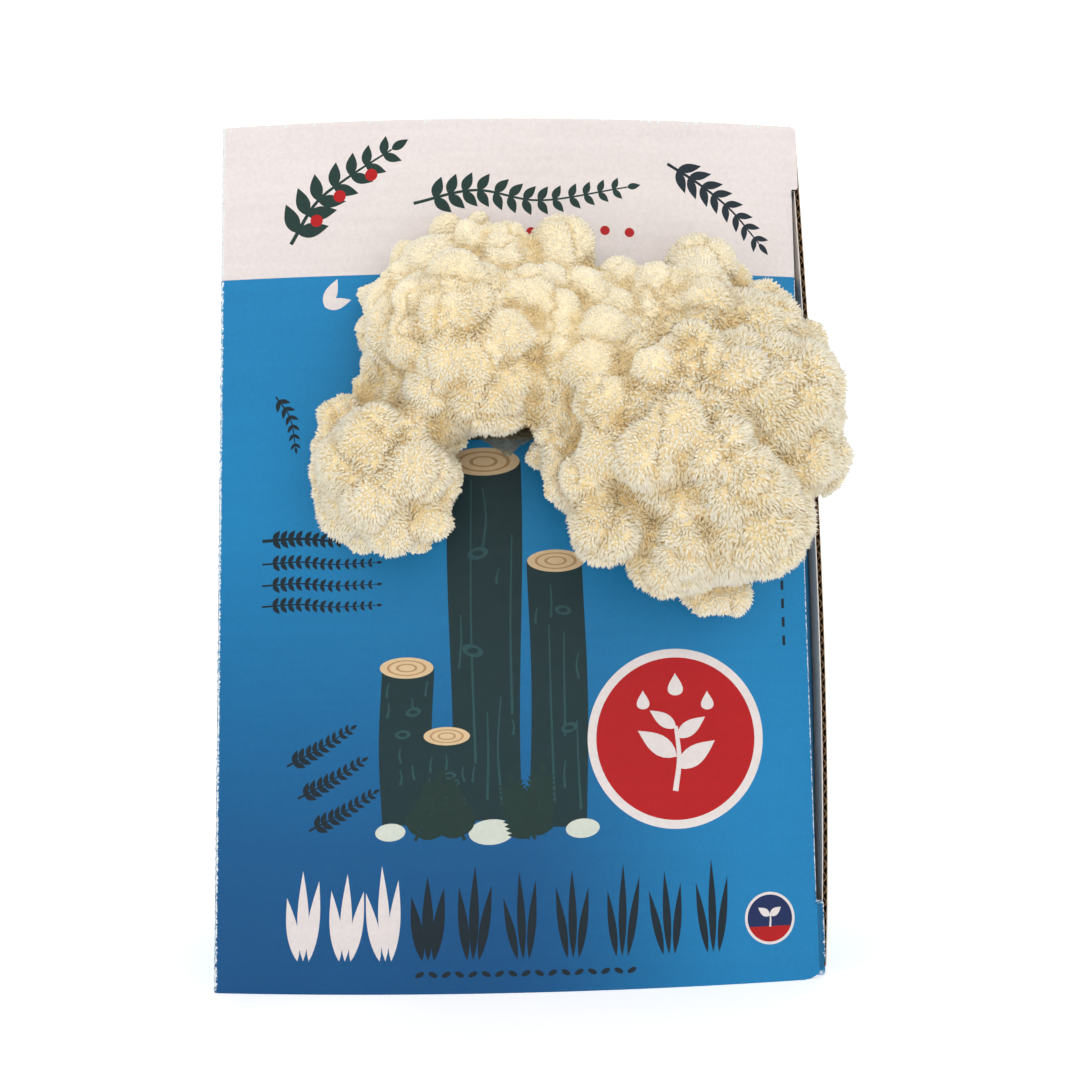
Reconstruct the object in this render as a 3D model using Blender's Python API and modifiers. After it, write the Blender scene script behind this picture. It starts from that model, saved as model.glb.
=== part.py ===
# Lion's mane mushroom grow kit: a printed corrugated mailer carton that stands on end,
# with a bagged sawdust block inside and three joined mushroom heads grown out through
# the hole in its front. Metres, +Z up. The origin is the centre of the carton's bottom
# face, the printed front looks along -Y and the carton's open tuck side is at +X.

import math

import bmesh
import bpy
from mathutils import Vector

MM = 0.001

# Carton, in millimetres
CARTON_WIDTH = 162.0
CARTON_HEIGHT = 235.0
CARTON_DEPTH = 114.0
BOARD = 1.6
ROLLED_WALL = 3.4
GAP = 0.3
LID_BULGE = 5.8
WALL_BOW = 3.2
WALL_BOW_ENDS = 0.4
WALL_BOW_SKEW = 0.8

# Right edge of the lid: shoulders that cover the wall, and the tuck flap between them
TOP_SHOULDER = 17.0
BOTTOM_SHOULDER = 24.5
SHOULDER_REACH = 1.7
LID_CORNER = 1.5
LOW_RIGHT_CORNER = 6.0
FLAP_DEPTH = 36.0
FLAP_LEAN = 6.5
FLAP_END_GAP = 1.6
FLAP_CORNER = 14.0

# Hole in the lid, and the square that the cross cut in the bag leaves behind it
HOLE_X = -1.0
HOLE_Z = 163.5
HOLE_HALF_WIDTH = 24.0
HOLE_HALF_HEIGHT = 18.5
HOLE_CORNER = 12.0
CUT_X = -2.2
CUT_Z = 162.0
CUT_SIDE = 30.0

# Bag and block
FILM = 0.3
BLOCK_ROUNDING = 13.0
BLOCK_TOP_ROOM = 5.3
BLOCK_DOME = 5.4
TUCK_ROOM = 2.9

# Point of the bag that hangs out of the hole: its path (out of the front plane, rise), the
# half width at each place along it, and the height of the crease down its middle
BAG_POINT_PATH = [(2.6, -0.2), (5.6, -0.3), (8.5, -1.2), (12.0, -4.0), (15.5, -8.0)]
BAG_POINT_HALF_WIDTHS = [14.0, 12.4, 9.2, 5.2, 0.6]
BAG_POINT_CREASE = 0.8
BAG_POINT_COLUMNS = 6

# How many slices each curved sheet is cut into
WALL_ROWS = 14
WALL_COLUMNS = 4
LID_COLUMNS = 18
FLAP_ROWS = 16
FLAP_LEAN_COLUMNS = 3
FLAP_RUN_COLUMNS = 4
BLOCK_COLUMNS = 8
KEEP_OUT_COLUMNS = 36

# Mushroom. Each head is a list of lumps: across, up, out of the front plane, radius, all
# in millimetres, from the tips of the spines. The first of a head are its solid hearts.
NECK_RADIUS = 12.6
NECK_FLARE = 0.6
NECK_REACH = 22.0
NECK_SIDES = 28
LID_CLEARANCE = 0.5
SKIN_VOXEL = 1.0
SKIN_SMOOTHING = 0.5
SKIN_SMOOTHING_PASSES = 2
SKIN_TRIANGLES = 6900

LEFT_HEAD = [
    (-32.5, 133.5, 22, 19), (-23, 150, 15, 9),
    (-45, 149, 18, 7), (-46.5, 141, 18, 7.3), (-46.5, 133, 17, 8), (-43, 124.5, 18, 9.4),
    (-39.5, 157.5, 12, 5), (-33.5, 155, 16, 5), (-34.5, 141.5, 33, 9), (-24.5, 132, 33, 9.5),
    (-34, 126.5, 33, 10), (-26, 142.5, 31, 7), (-18.5, 131.5, 27, 6.5), (-22, 122, 26, 7.5),
    (-30.5, 119.5, 27, 8.5), (-40.5, 119.5, 16, 6.5), (-19.5, 143, 23, 5), (-15.5, 142, 16, 3.8),
    (-25.5, 117, 16, 5), (-41, 136, 30, 9),
]
TOP_HEAD = [
    (-12.5, 168.5, 24, 20), (-7, 184.5, 17, 13), (-13, 157.5, 24, 16), (0, 163.5, 26, 13),
    (-16.5, 199, 12, 6.8), (-9, 203.5, 8, 4.6), (-26, 191, 14, 7.3), (-12, 194.5, 25, 4.4),
    (-1.5, 193.5, 22, 6.6), (13, 193, 18, 10), (12, 184, 20, 6), (-33, 183.5, 14, 5),
    (-37.5, 183, 10, 4.8), (-37, 172, 12, 6.4), (-34, 163.5, 15, 6.8), (-14, 179, 35, 8.5),
    (3.5, 176, 32, 8.6), (13.5, 177.5, 26, 2.2), (-24.5, 175, 33, 6), (-16.5, 168.5, 40, 7.2),
    (-1, 164.5, 39, 6.8), (-26, 165, 33, 7.5), (-16.5, 159.5, 38, 8), (-8, 158.5, 39, 7.5),
    (-1.5, 155, 35, 6.8), (-20, 152.5, 32, 8.3), (-8.5, 150.5, 32, 10), (-28.5, 156, 22, 6.7),
    (-3.5, 150.5, 28, 6.6), (-28, 183, 21, 7), (-31.5, 173.5, 21, 7.5),
]
RIGHT_HEAD = [
    (40, 141, 33, 23), (56.5, 148.5, 28, 22.5), (53.5, 124, 28, 21), (27, 157.5, 26, 17),
    (40.5, 169, 20, 18), (23.5, 129.5, 26, 15), (59, 166.5, 18, 16), (42, 113.5, 25, 13),
    (20, 160.5, 22, 13), (17, 177, 12, 9.5), (13, 145, 18, 9),
    (50, 188, 14, 11), (60, 186.5, 12, 5.8), (28, 182, 20, 8.8), (37, 178.5, 28, 8.2),
    (12, 167.5, 30, 6.7), (21.5, 164.5, 37, 8), (9.5, 157, 26, 6.6), (18, 156, 38, 7.7),
    (21, 147, 42, 8.5), (32, 154, 48, 6.2), (42.5, 157.5, 45, 9.2), (8, 147.5, 20, 5),
    (15, 144.5, 30, 5), (21.5, 136.5, 43, 8), (36.5, 140, 52, 8.4), (30, 133.5, 48, 9.5),
    (17.5, 130, 38, 8), (9, 128.5, 27, 4), (7, 138, 20, 5), (22, 118.5, 33, 11),
    (46.5, 133.5, 49, 10.5), (67.5, 151, 35, 14.3), (65.5, 169.5, 26, 9.7), (74, 167, 20, 8.4),
    (76, 135.5, 24, 10.5), (57.5, 119, 36, 15.5), (36, 109, 28, 9.5), (48, 102.5, 15, 6.8),
    (55, 102, 15, 6.8), (41.5, 114.5, 35, 10.5), (52.5, 151, 44, 10.5), (24, 108, 14, 3),
    (39.5, 123.5, 42, 7), (59.5, 167.5, 31, 9), (69, 133.5, 33, 10),
]

# Places that follow from the sizes above
HALF_WIDTH = CARTON_WIDTH / 2
FRONT = -CARTON_DEPTH / 2
BACK = CARTON_DEPTH / 2
WALL_FRONT = FRONT + BOARD + GAP
FOLD_X = HALF_WIDTH - SHOULDER_REACH


def clear_scene():
    for thing in list(bpy.data.objects):
        bpy.data.objects.remove(thing, do_unlink=True)


def make_collection(name):
    collection = bpy.data.collections.new(name)
    bpy.context.scene.collection.children.link(collection)
    return collection


def make_material(name, colour, roughness):
    material = bpy.data.materials.new(name)
    material.use_nodes = True
    shader = material.node_tree.nodes["Principled BSDF"]
    shader.inputs["Base Color"].default_value = (*colour, 1.0)
    shader.inputs["Roughness"].default_value = roughness
    shader.inputs["Metallic"].default_value = 0.0
    material.diffuse_color = (*colour, 1.0)
    return material


def lid_bulge(x):
    """How far the lid stands out at x: a shallow cylinder, nothing at its long edges."""
    return LID_BULGE * max(0.0, 1.0 - (x / HALF_WIDTH) ** 2)


def wall_bow(z, y):
    """How far the tuck-side wall bows out: most at its free front edge, a little below the middle."""
    share = min(1.0, max(0.0, z / CARTON_HEIGHT)) ** WALL_BOW_SKEW
    along = WALL_BOW_ENDS + WALL_BOW * math.sin(math.pi * share)
    return along * (max(0.0, BACK - y) / CARTON_DEPTH) ** 1.5


def object_from_bmesh(name, bm, collection):
    bmesh.ops.recalc_face_normals(bm, faces=bm.faces)
    mesh = bpy.data.meshes.new(name)
    bm.to_mesh(mesh)
    bm.free()
    mesh.transform(((MM, 0, 0, 0), (0, MM, 0, 0), (0, 0, MM, 0), (0, 0, 0, 1)))
    made = bpy.data.objects.new(name, mesh)
    collection.objects.link(made)
    return made


def cube_between(low, high):
    bm = bmesh.new()
    bmesh.ops.create_cube(bm, size=1.0)
    for vertex in bm.verts:
        for axis in range(3):
            vertex.co[axis] = low[axis] if vertex.co[axis] < 0 else high[axis]
    return bm


def slice_along(bm, axis, low, high, count):
    """Cuts the mesh with evenly spaced planes, so that it can be curved along one axis."""
    normal = Vector((0, 0, 0))
    normal[axis] = 1.0
    for step in range(1, count):
        point = normal * (low + (high - low) * step / count)
        everything = bm.verts[:] + bm.edges[:] + bm.faces[:]
        bmesh.ops.bisect_plane(bm, geom=everything, plane_co=point, plane_no=normal)


def add_boolean(target, operation, cutter):
    modifier = target.modifiers.new(operation.lower(), "BOOLEAN")
    modifier.operation = operation
    modifier.solver = "EXACT"
    modifier.object = cutter


def as_cutter(thing):
    thing.hide_render = True
    thing.display_type = "WIRE"
    return thing


def apply_modifiers(thing):
    depsgraph = bpy.context.evaluated_depsgraph_get()
    evaluated = thing.evaluated_get(depsgraph)
    mesh = bpy.data.meshes.new_from_object(evaluated)
    thing.modifiers.clear()
    thing.data = mesh


def sheet_from_grid(name, grid, thickness, collection):
    """A sheet of even thickness through rows of points."""
    bm = bmesh.new()
    lines = [[bm.verts.new(point) for point in line] for line in grid]
    for line, above in zip(lines, lines[1:]):
        for step in range(len(line) - 1):
            bm.faces.new((line[step], line[step + 1], above[step + 1], above[step]))
    sheet = object_from_bmesh(name, bm, collection)
    solid = sheet.modifiers.new("thickness", "SOLIDIFY")
    solid.thickness = thickness * MM
    solid.offset = 0.0
    apply_modifiers(sheet)
    return sheet


def finish(thing, material, smooth_angle=None):
    thing.data.materials.clear()
    thing.data.materials.append(material)
    if smooth_angle is not None:
        thing.data.shade_smooth()
        thing.data.set_sharp_from_angle(angle=math.radians(smooth_angle))


# Carton tray

def bowed_box(name, low, high, wall_offset, collection):
    """A box whose +X side follows the tuck-side wall, wall_offset inside its outer face."""
    bm = cube_between(low, high)
    slice_along(bm, 2, 0.0, CARTON_HEIGHT, WALL_ROWS)
    slice_along(bm, 1, WALL_FRONT, BACK, WALL_COLUMNS)
    for vertex in bm.verts:
        if vertex.co.x > 0:
            vertex.co.x = HALF_WIDTH - wall_offset + wall_bow(vertex.co.z, vertex.co.y)
    return object_from_bmesh(name, bm, collection)


def build_tray(parts, cutters, material):
    tray = bowed_box(
        "carton_tray",
        (-HALF_WIDTH, WALL_FRONT, 0.0),
        (HALF_WIDTH, BACK, CARTON_HEIGHT),
        0.0,
        parts,
    )
    inside = bowed_box(
        "tray_inside",
        (-HALF_WIDTH + BOARD, WALL_FRONT - ROLLED_WALL, ROLLED_WALL),
        (HALF_WIDTH - BOARD, BACK - BOARD, CARTON_HEIGHT - ROLLED_WALL),
        BOARD,
        cutters,
    )
    add_boolean(tray, "DIFFERENCE", as_cutter(inside))
    apply_modifiers(tray)
    finish(tray, material, 30)
    return tray


# Carton lid

def arc(centre, radius, start, end, steps):
    points = []
    for step in range(steps + 1):
        angle = math.radians(start + (end - start) * step / steps)
        points.append((centre[0] + radius * math.cos(angle), centre[1] + radius * math.sin(angle)))
    return points


def lid_outline():
    """The lid's outline seen from the front, with a shoulder at each right corner."""
    right = HALF_WIDTH
    top = CARTON_HEIGHT
    bottom_fold = BOTTOM_SHOULDER
    top_fold = CARTON_HEIGHT - TOP_SHOULDER
    corner = LID_CORNER
    low_corner = LOW_RIGHT_CORNER
    notch = SHOULDER_REACH / 2
    outline = [(-right, 0.0)]
    outline += arc((right - low_corner, low_corner), low_corner, -90, 0, 5)
    outline += arc((right - notch, bottom_fold - notch), notch, 0, 90, 3)
    outline += [(FOLD_X, bottom_fold), (FOLD_X, top_fold)]
    outline += arc((right - notch, top_fold + notch), notch, -90, 0, 3)
    outline += arc((right - corner, top - corner), corner, 0, 90, 4)
    outline += arc((-right + corner, top - corner), corner, 90, 180, 4)
    return outline


def hole_outline():
    """The hole is a rectangle with large round corners."""
    points = []
    for turn in range(4):
        side = 1 if turn in (0, 3) else -1
        level = 1 if turn in (0, 1) else -1
        centre = (
            HOLE_X + side * (HOLE_HALF_WIDTH - HOLE_CORNER),
            HOLE_Z + level * (HOLE_HALF_HEIGHT - HOLE_CORNER),
        )
        points += arc(centre, HOLE_CORNER, 90 * turn, 90 * turn + 90, 7)
    return points


def flat_board(name, outlines, collection):
    """A flat sheet of board from closed outlines, standing in the XZ plane with its face at FRONT."""
    curve = bpy.data.curves.new(name, "CURVE")
    curve.dimensions = "2D"
    curve.fill_mode = "BOTH"
    curve.extrude = BOARD / 2
    for outline in outlines:
        spline = curve.splines.new("POLY")
        spline.points.add(len(outline) - 1)
        for point, (x, z) in zip(spline.points, outline):
            point.co = (x, z, 0.0, 1.0)
        spline.use_cyclic_u = True
    guide = bpy.data.objects.new(name, curve)
    collection.objects.link(guide)
    depsgraph = bpy.context.evaluated_depsgraph_get()
    mesh = bpy.data.meshes.new_from_object(guide.evaluated_get(depsgraph))
    bpy.data.objects.remove(guide, do_unlink=True)
    bm = bmesh.new()
    bm.from_mesh(mesh)
    bmesh.ops.remove_doubles(bm, verts=bm.verts, dist=0.001)
    bmesh.ops.dissolve_limit(bm, angle_limit=0.01, verts=bm.verts, edges=bm.edges)
    for vertex in bm.verts:
        x, z, thickness = vertex.co
        vertex.co = (x, FRONT + BOARD / 2 - thickness, z)
    return bm


def tuck_flap(collection):
    """The flap that the lid tucks in: it leans out from the fold to the wall, then runs back along it."""
    low = BOTTOM_SHOULDER + FLAP_END_GAP
    high = CARTON_HEIGHT - TOP_SHOULDER - FLAP_END_GAP
    fold_x = FOLD_X - BOARD / 2
    fold_y = FRONT + BOARD / 2
    grid = []
    for row in range(FLAP_ROWS + 1):
        z = low + (high - low) * row / FLAP_ROWS
        from_end = min(z - low, high - z)
        short = 0.0
        if from_end < FLAP_CORNER:
            short = FLAP_CORNER - math.sqrt(FLAP_CORNER ** 2 - (FLAP_CORNER - from_end) ** 2)
        run = FLAP_DEPTH - FLAP_LEAN - short
        line = []
        for column in range(FLAP_LEAN_COLUMNS + FLAP_RUN_COLUMNS + 1):
            lean = min(1.0, column / FLAP_LEAN_COLUMNS)
            beyond = max(0.0, (column - FLAP_LEAN_COLUMNS) / FLAP_RUN_COLUMNS)
            y = fold_y + FLAP_LEAN * lean + run * beyond
            beside_wall = HALF_WIDTH - BOARD * 1.5 - GAP + wall_bow(z, y)
            line.append((fold_x * (1 - lean) + beside_wall * lean, y, z))
        grid.append(line)
    return sheet_from_grid("tuck_flap", grid, BOARD, collection)


def build_lid(parts, cutters, material):
    bm = flat_board("lid_sheet", [lid_outline(), hole_outline()], cutters)
    slice_along(bm, 0, -HALF_WIDTH, HALF_WIDTH, LID_COLUMNS)
    for vertex in bm.verts:
        vertex.co.y -= lid_bulge(vertex.co.x)
    lid = object_from_bmesh("carton_lid", bm, parts)
    add_boolean(lid, "UNION", as_cutter(tuck_flap(cutters)))
    apply_modifiers(lid)
    finish(lid, material, 30)
    return lid


# Block and bag

def block_shape(name, grow, collection):
    """The pressed block in its bag, grown outward by a margin: rounded, domed behind the lid."""
    low = (
        -HALF_WIDTH + BOARD + GAP + FILM + GAP - grow,
        WALL_FRONT + GAP + FILM + GAP - grow,
        ROLLED_WALL + GAP + FILM + GAP - grow,
    )
    high = (
        HALF_WIDTH - BOARD - GAP - TUCK_ROOM - FILM + grow,
        BACK - BOARD - GAP - FILM - GAP + grow,
        CARTON_HEIGHT - ROLLED_WALL - BLOCK_TOP_ROOM + grow,
    )
    bm = cube_between(low, high)
    bmesh.ops.bevel(
        bm, geom=bm.edges[:], offset=BLOCK_ROUNDING, segments=3, affect="EDGES", profile=0.5,
        clamp_overlap=True,
    )
    slice_along(bm, 0, low[0], high[0], BLOCK_COLUMNS)
    for vertex in bm.verts:
        depth_share = (high[1] - vertex.co.y) / (high[1] - low[1])
        dome = BLOCK_DOME * max(0.0, 1.0 - (vertex.co.x / HALF_WIDTH) ** 2)
        vertex.co.y -= dome * max(0.0, depth_share) ** 3
    return object_from_bmesh(name, bm, collection)


def bag_flap(collection):
    """The lower point of the cross cut, folded out over the edge of the lid's hole."""
    cut_edge = CUT_Z - CUT_SIDE / 2
    grid = []
    for (out, rise), half in zip(BAG_POINT_PATH, BAG_POINT_HALF_WIDTHS):
        line = []
        for step in range(BAG_POINT_COLUMNS + 1):
            side = 2 * step / BAG_POINT_COLUMNS - 1
            crease = BAG_POINT_CREASE * (1 - abs(side)) * half / BAG_POINT_HALF_WIDTHS[0]
            line.append((CUT_X + half * side, FRONT - out, cut_edge + rise + crease))
        grid.append(line)
    return sheet_from_grid("bag_flap", grid, FILM, collection)


def build_block(parts, material):
    block = block_shape("substrate_block", 0.0, parts)
    finish(block, material, 35)
    return block


def build_bag(parts, cutters, material):
    bag = block_shape("grow_bag", GAP + FILM, parts)
    inside = block_shape("bag_inside", GAP, cutters)
    half = CUT_SIDE / 2
    opening = object_from_bmesh(
        "cross_cut",
        cube_between((CUT_X - half, FRONT - half, CUT_Z - half), (CUT_X + half, FRONT + half, CUT_Z + half)),
        cutters,
    )
    add_boolean(bag, "DIFFERENCE", as_cutter(inside))
    add_boolean(bag, "DIFFERENCE", as_cutter(opening))
    add_boolean(bag, "UNION", as_cutter(bag_flap(cutters)))
    apply_modifiers(bag)
    finish(bag, material, 35)
    return bag


# Mushroom

def keep_largest_skin(mesh):
    """Leaves only the outer skin, so that no pocket stays sealed between the lumps."""
    bm = bmesh.new()
    bm.from_mesh(mesh)
    unseen = set(bm.verts)
    islands = []
    while unseen:
        seed = unseen.pop()
        island = [seed]
        queue = [seed]
        while queue:
            for edge in queue.pop().link_edges:
                for vertex in edge.verts:
                    if vertex in unseen:
                        unseen.remove(vertex)
                        island.append(vertex)
                        queue.append(vertex)
        islands.append(island)
    islands.sort(key=len, reverse=True)
    for island in islands[1:]:
        bmesh.ops.delete(bm, geom=island, context="VERTS")
    bm.to_mesh(mesh)
    bm.free()


def lump_cluster(name, lumps, collection):
    bm = bmesh.new()
    for across, up, out, radius in lumps:
        made = bmesh.ops.create_icosphere(bm, subdivisions=3, radius=radius)
        for vertex in made["verts"]:
            vertex.co += Vector((across, FRONT - out, up))
    return object_from_bmesh(name, bm, collection)


def lid_keep_out(collection):
    """Everything behind a sheet that lies just in front of the bulged lid."""
    side = CARTON_WIDTH * 0.6
    bm = cube_between((-side, FRONT - LID_CLEARANCE, 0.0), (side, 0.0, CARTON_HEIGHT))
    slice_along(bm, 0, -side, side, KEEP_OUT_COLUMNS)
    for vertex in bm.verts:
        if vertex.co.y < FRONT:
            vertex.co.y -= lid_bulge(vertex.co.x)
    return object_from_bmesh("lid_keep_out", bm, collection)


def neck_shape(collection):
    """The stalk that fills the cut in the bag and joins the heads to the block."""
    block_face = WALL_FRONT + GAP + FILM + GAP - BLOCK_DOME
    inner_end = block_face - GAP * 1.5
    outer_end = FRONT - NECK_REACH
    bm = bmesh.new()
    made = bmesh.ops.create_cone(
        bm, cap_ends=True, segments=NECK_SIDES,
        radius1=NECK_RADIUS, radius2=NECK_RADIUS + NECK_FLARE, depth=inner_end - outer_end,
    )
    for vertex in made["verts"]:
        x, y, z = vertex.co
        vertex.co = (CUT_X + x, (inner_end + outer_end) / 2 - z, CUT_Z + y)
    return object_from_bmesh("neck", bm, collection)


def build_mushroom(parts, cutters, material):
    mushroom = lump_cluster("lions_mane", LEFT_HEAD + TOP_HEAD + RIGHT_HEAD, parts)
    skin = mushroom.modifiers.new("one skin", "REMESH")
    skin.mode = "VOXEL"
    skin.voxel_size = SKIN_VOXEL * MM
    apply_modifiers(mushroom)
    keep_largest_skin(mushroom.data)
    soften = mushroom.modifiers.new("soften", "SMOOTH")
    soften.factor = SKIN_SMOOTHING
    soften.iterations = SKIN_SMOOTHING_PASSES
    lighten = mushroom.modifiers.new("lighten", "DECIMATE")
    triangles = sum(len(face.vertices) - 2 for face in mushroom.data.polygons)
    lighten.ratio = SKIN_TRIANGLES / triangles
    add_boolean(mushroom, "DIFFERENCE", as_cutter(lid_keep_out(cutters)))
    add_boolean(mushroom, "UNION", as_cutter(neck_shape(cutters)))
    apply_modifiers(mushroom)
    finish(mushroom, material, 70)
    return mushroom


def main():
    clear_scene()
    parts = make_collection("lions_mane_grow_kit")
    cutters = make_collection("cutters")
    blue_board = make_material("printed board", (0.03, 0.23, 0.48), 0.55)
    lid_board = make_material("printed lid board", (0.03, 0.25, 0.52), 0.5)
    film = make_material("clear film", (0.75, 0.78, 0.76), 0.25)
    sawdust = make_material("sawdust block", (0.34, 0.2, 0.1), 0.95)
    flesh = make_material("mushroom flesh", (0.78, 0.64, 0.4), 0.8)

    kit = bpy.data.objects.new("kit", None)
    parts.objects.link(kit)
    pieces = [
        build_tray(parts, cutters, blue_board),
        build_lid(parts, cutters, lid_board),
        build_block(parts, sawdust),
        build_bag(parts, cutters, film),
        build_mushroom(parts, cutters, flesh),
    ]
    for piece in pieces:
        piece.parent = kit


main()
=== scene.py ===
# Lion's mane grow kit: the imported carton, bag, block and mushroom, dressed for their portrait.
# Sizes are millimetres until a mesh is made; the carton's printed front looks along -Y.
import math

import bpy
import numpy as np
from mathutils import Matrix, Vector
from mathutils.geometry import delaunay_2d_cdt


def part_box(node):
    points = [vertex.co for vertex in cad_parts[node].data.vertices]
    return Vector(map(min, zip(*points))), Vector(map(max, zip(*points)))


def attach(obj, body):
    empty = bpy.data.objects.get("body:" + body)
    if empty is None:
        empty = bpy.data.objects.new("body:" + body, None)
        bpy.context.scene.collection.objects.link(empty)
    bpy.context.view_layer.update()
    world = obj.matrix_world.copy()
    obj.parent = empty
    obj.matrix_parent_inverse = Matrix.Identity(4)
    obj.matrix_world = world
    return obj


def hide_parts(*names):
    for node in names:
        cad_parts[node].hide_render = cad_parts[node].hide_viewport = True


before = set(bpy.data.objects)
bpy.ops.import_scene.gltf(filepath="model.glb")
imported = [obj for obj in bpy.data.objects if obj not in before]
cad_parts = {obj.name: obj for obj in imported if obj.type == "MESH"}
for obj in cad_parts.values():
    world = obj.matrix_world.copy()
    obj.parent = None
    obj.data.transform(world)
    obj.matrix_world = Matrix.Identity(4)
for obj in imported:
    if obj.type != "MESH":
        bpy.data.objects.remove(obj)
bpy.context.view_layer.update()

metresPerMm = 0.001
scene = bpy.context.scene


def nodeBox(node):
    return [np.array(corner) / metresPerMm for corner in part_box(node)]


trayLow, trayHigh = nodeBox("carton_tray")
lidLow, lidHigh = nodeBox("carton_lid")

carton = {
    "halfWidth": -trayLow[0],
    "height": trayHigh[2],
    "front": -trayHigh[1],
    "back": trayHigh[1],
    "wallFront": trayLow[1],
    "board": 1.6,
    "liner": 0.24,
    "flutePitch": 3.35,
    "bulge": -trayHigh[1] - lidLow[1],
    "wallBow": 3.2,
    "wallBowEnds": 0.4,
    "creaseRadius": 1.2,
    "edgeStep": 1.2,        # how far apart points lie along the board's edges and along the print's
    "printStep": 1.0,
}


# Camera and light

cameraLook = {
    "place": (-1.99, -356.54, 92.49),
    "pitch": 4.883,
    "yaw": -1.632,
    "roll": 0.863,
    "focal": 1100.0,        # pixels of a frame 1080 wide
    "frame": 1080.0,
}


def addCamera():
    # level and facing +Y, then turned by yaw about Z, pitch about X and roll about the line of sight
    lens = bpy.data.cameras.new("camera")
    lens.sensor_width = 36.0
    lens.lens = lens.sensor_width * cameraLook["focal"] / cameraLook["frame"]
    lens.clip_start = 0.01
    camera = bpy.data.objects.new("camera", lens)
    scene.collection.objects.link(camera)
    turn = Matrix.Rotation(math.radians(cameraLook["yaw"]), 4, "Z")
    turn = turn @ Matrix.Rotation(math.radians(cameraLook["pitch"]), 4, "X")
    turn = turn @ Matrix.Rotation(math.radians(cameraLook["roll"]), 4, "Y")
    turn = turn @ Matrix.Rotation(math.radians(90), 4, "X")
    place = [metresPerMm * value for value in cameraLook["place"]]
    camera.matrix_world = Matrix.Translation(place) @ turn
    scene.camera = camera


studio = {
    "lamps": [              # place, size and power; each points at the aim
        ((0.30, -0.46, 0.46), 0.45, 0.98),
        ((-0.28, -0.28, 0.45), 0.36, 0.52),
        ((-0.90, -0.90, 0.55), 1.20, 0.84),
        ((0.02, -0.80, 0.25), 0.60, 1.12),
    ],
    "aim": (0.0, -0.06, 0.12),
    "lampColour": (1.0, 0.985, 0.965),
    "skyColour": (0.96, 0.98, 1.0, 1.0),
    "sky": 0.38,
    "paper": (0.93, 0.93, 0.93, 1.0),
    "glowNear": 0.45,       # the paper's own light under the object and at the wall behind it
    "glowFar": 0.80,
    "glowFrom": -0.05,      # where the paper's light starts to rise, and where it is full
    "glowTo": 0.4,
    "sweepNear": -1.6,
    "sweepFar": 1.4,
    "sweepRadius": 0.8,
    "sweepHalfWidth": 3.0,
    "sweepHeight": 3.0,
}


def addLights():
    for number, (place, size, power) in enumerate(studio["lamps"]):
        lamp = bpy.data.lights.new(f"lamp{number}", "AREA")
        lamp.size = size
        lamp.energy = power
        lamp.color = studio["lampColour"]
        light = bpy.data.objects.new(f"lamp{number}", lamp)
        scene.collection.objects.link(light)
        light.matrix_world = Matrix.Translation(place) @ lookAlong(np.subtract(studio["aim"], place))
    world = bpy.data.worlds.new("softRoom")
    world.use_nodes = True
    background = world.node_tree.nodes["Background"]
    background.inputs["Color"].default_value = studio["skyColour"]
    background.inputs["Strength"].default_value = studio["sky"]
    scene.world = world
    scene.view_settings.view_transform = "Standard"


def lookAlong(direction):
    # a turn that points a lamp's -Z along the direction
    back = -direction / np.linalg.norm(direction)
    side = np.cross((0.0, 0.0, 1.0), back)
    side /= np.linalg.norm(side)
    up = np.cross(back, side)
    return Matrix(np.stack([side, up, back], axis=1).tolist()).to_4x4()


def addFloor():
    # a floor that sweeps up into a wall: straight, a quarter circle, straight
    radius = studio["sweepRadius"]
    bend = np.linspace(0.0, math.pi / 2, 25)
    far = studio["sweepFar"] + radius * np.sin(bend)
    alongY = np.concatenate([[studio["sweepNear"]], far, far[-1:]])
    alongZ = np.concatenate([[0.0], radius * (1 - np.cos(bend)), [studio["sweepHeight"]]])
    across = np.array([-1.0, 1.0]) * studio["sweepHalfWidth"]
    x, y = np.meshgrid(across, alongY)
    z = np.repeat(alongZ[:, None], 2, axis=1)
    points = np.stack([x, y, z], axis=-1).reshape(-1, 3)
    mesh = meshFrom("floor", points / metresPerMm, gridFaces(len(alongY), 2))
    material, tree, shader = paintMaterial("floorPaper", roughness=0.9)
    shader.inputs["Base Color"].default_value = studio["paper"]
    shader.inputs["Emission Color"].default_value = (1.0, 1.0, 1.0, 1.0)
    depth = addNode(tree, "ShaderNodeSeparateXYZ", Vector=objectPlace(tree)).outputs["Y"]
    glow = spread(tree, depth, studio["glowFrom"], studio["glowTo"], studio["glowNear"], studio["glowFar"])
    tree.links.new(glow, shader.inputs["Emission Strength"])
    mesh.materials.append(material)
    floor = bpy.data.objects.new("floor", mesh)
    scene.collection.objects.link(floor)


# Mesh helpers

def gridFaces(rows, columns, closed=False):
    # quads between neighbouring points of a grid, as two triangles each
    index = np.arange(rows * columns).reshape(rows, columns)
    if closed:
        index = np.concatenate([index, index[:, :1]], axis=1)
    a, b = index[:-1, :-1].ravel(), index[:-1, 1:].ravel()
    c, d = index[1:, 1:].ravel(), index[1:, :-1].ravel()
    return np.concatenate([np.stack([a, b, c], axis=1), np.stack([a, c, d], axis=1)])


def meshFrom(name, points, faces, smooth=True):
    mesh = bpy.data.meshes.new(name)
    mesh.vertices.add(len(points))
    mesh.vertices.foreach_set("co", (np.asarray(points) * metresPerMm).astype(np.float32).ravel())
    mesh.loops.add(faces.size)
    mesh.loops.foreach_set("vertex_index", faces.astype(np.int32).ravel())
    mesh.polygons.add(len(faces))
    mesh.polygons.foreach_set("loop_start", np.arange(0, faces.size, faces.shape[1], dtype=np.int32))
    mesh.update(calc_edges=True)
    mesh.polygons.foreach_set("use_smooth", np.full(len(faces), smooth))
    return mesh


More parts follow.
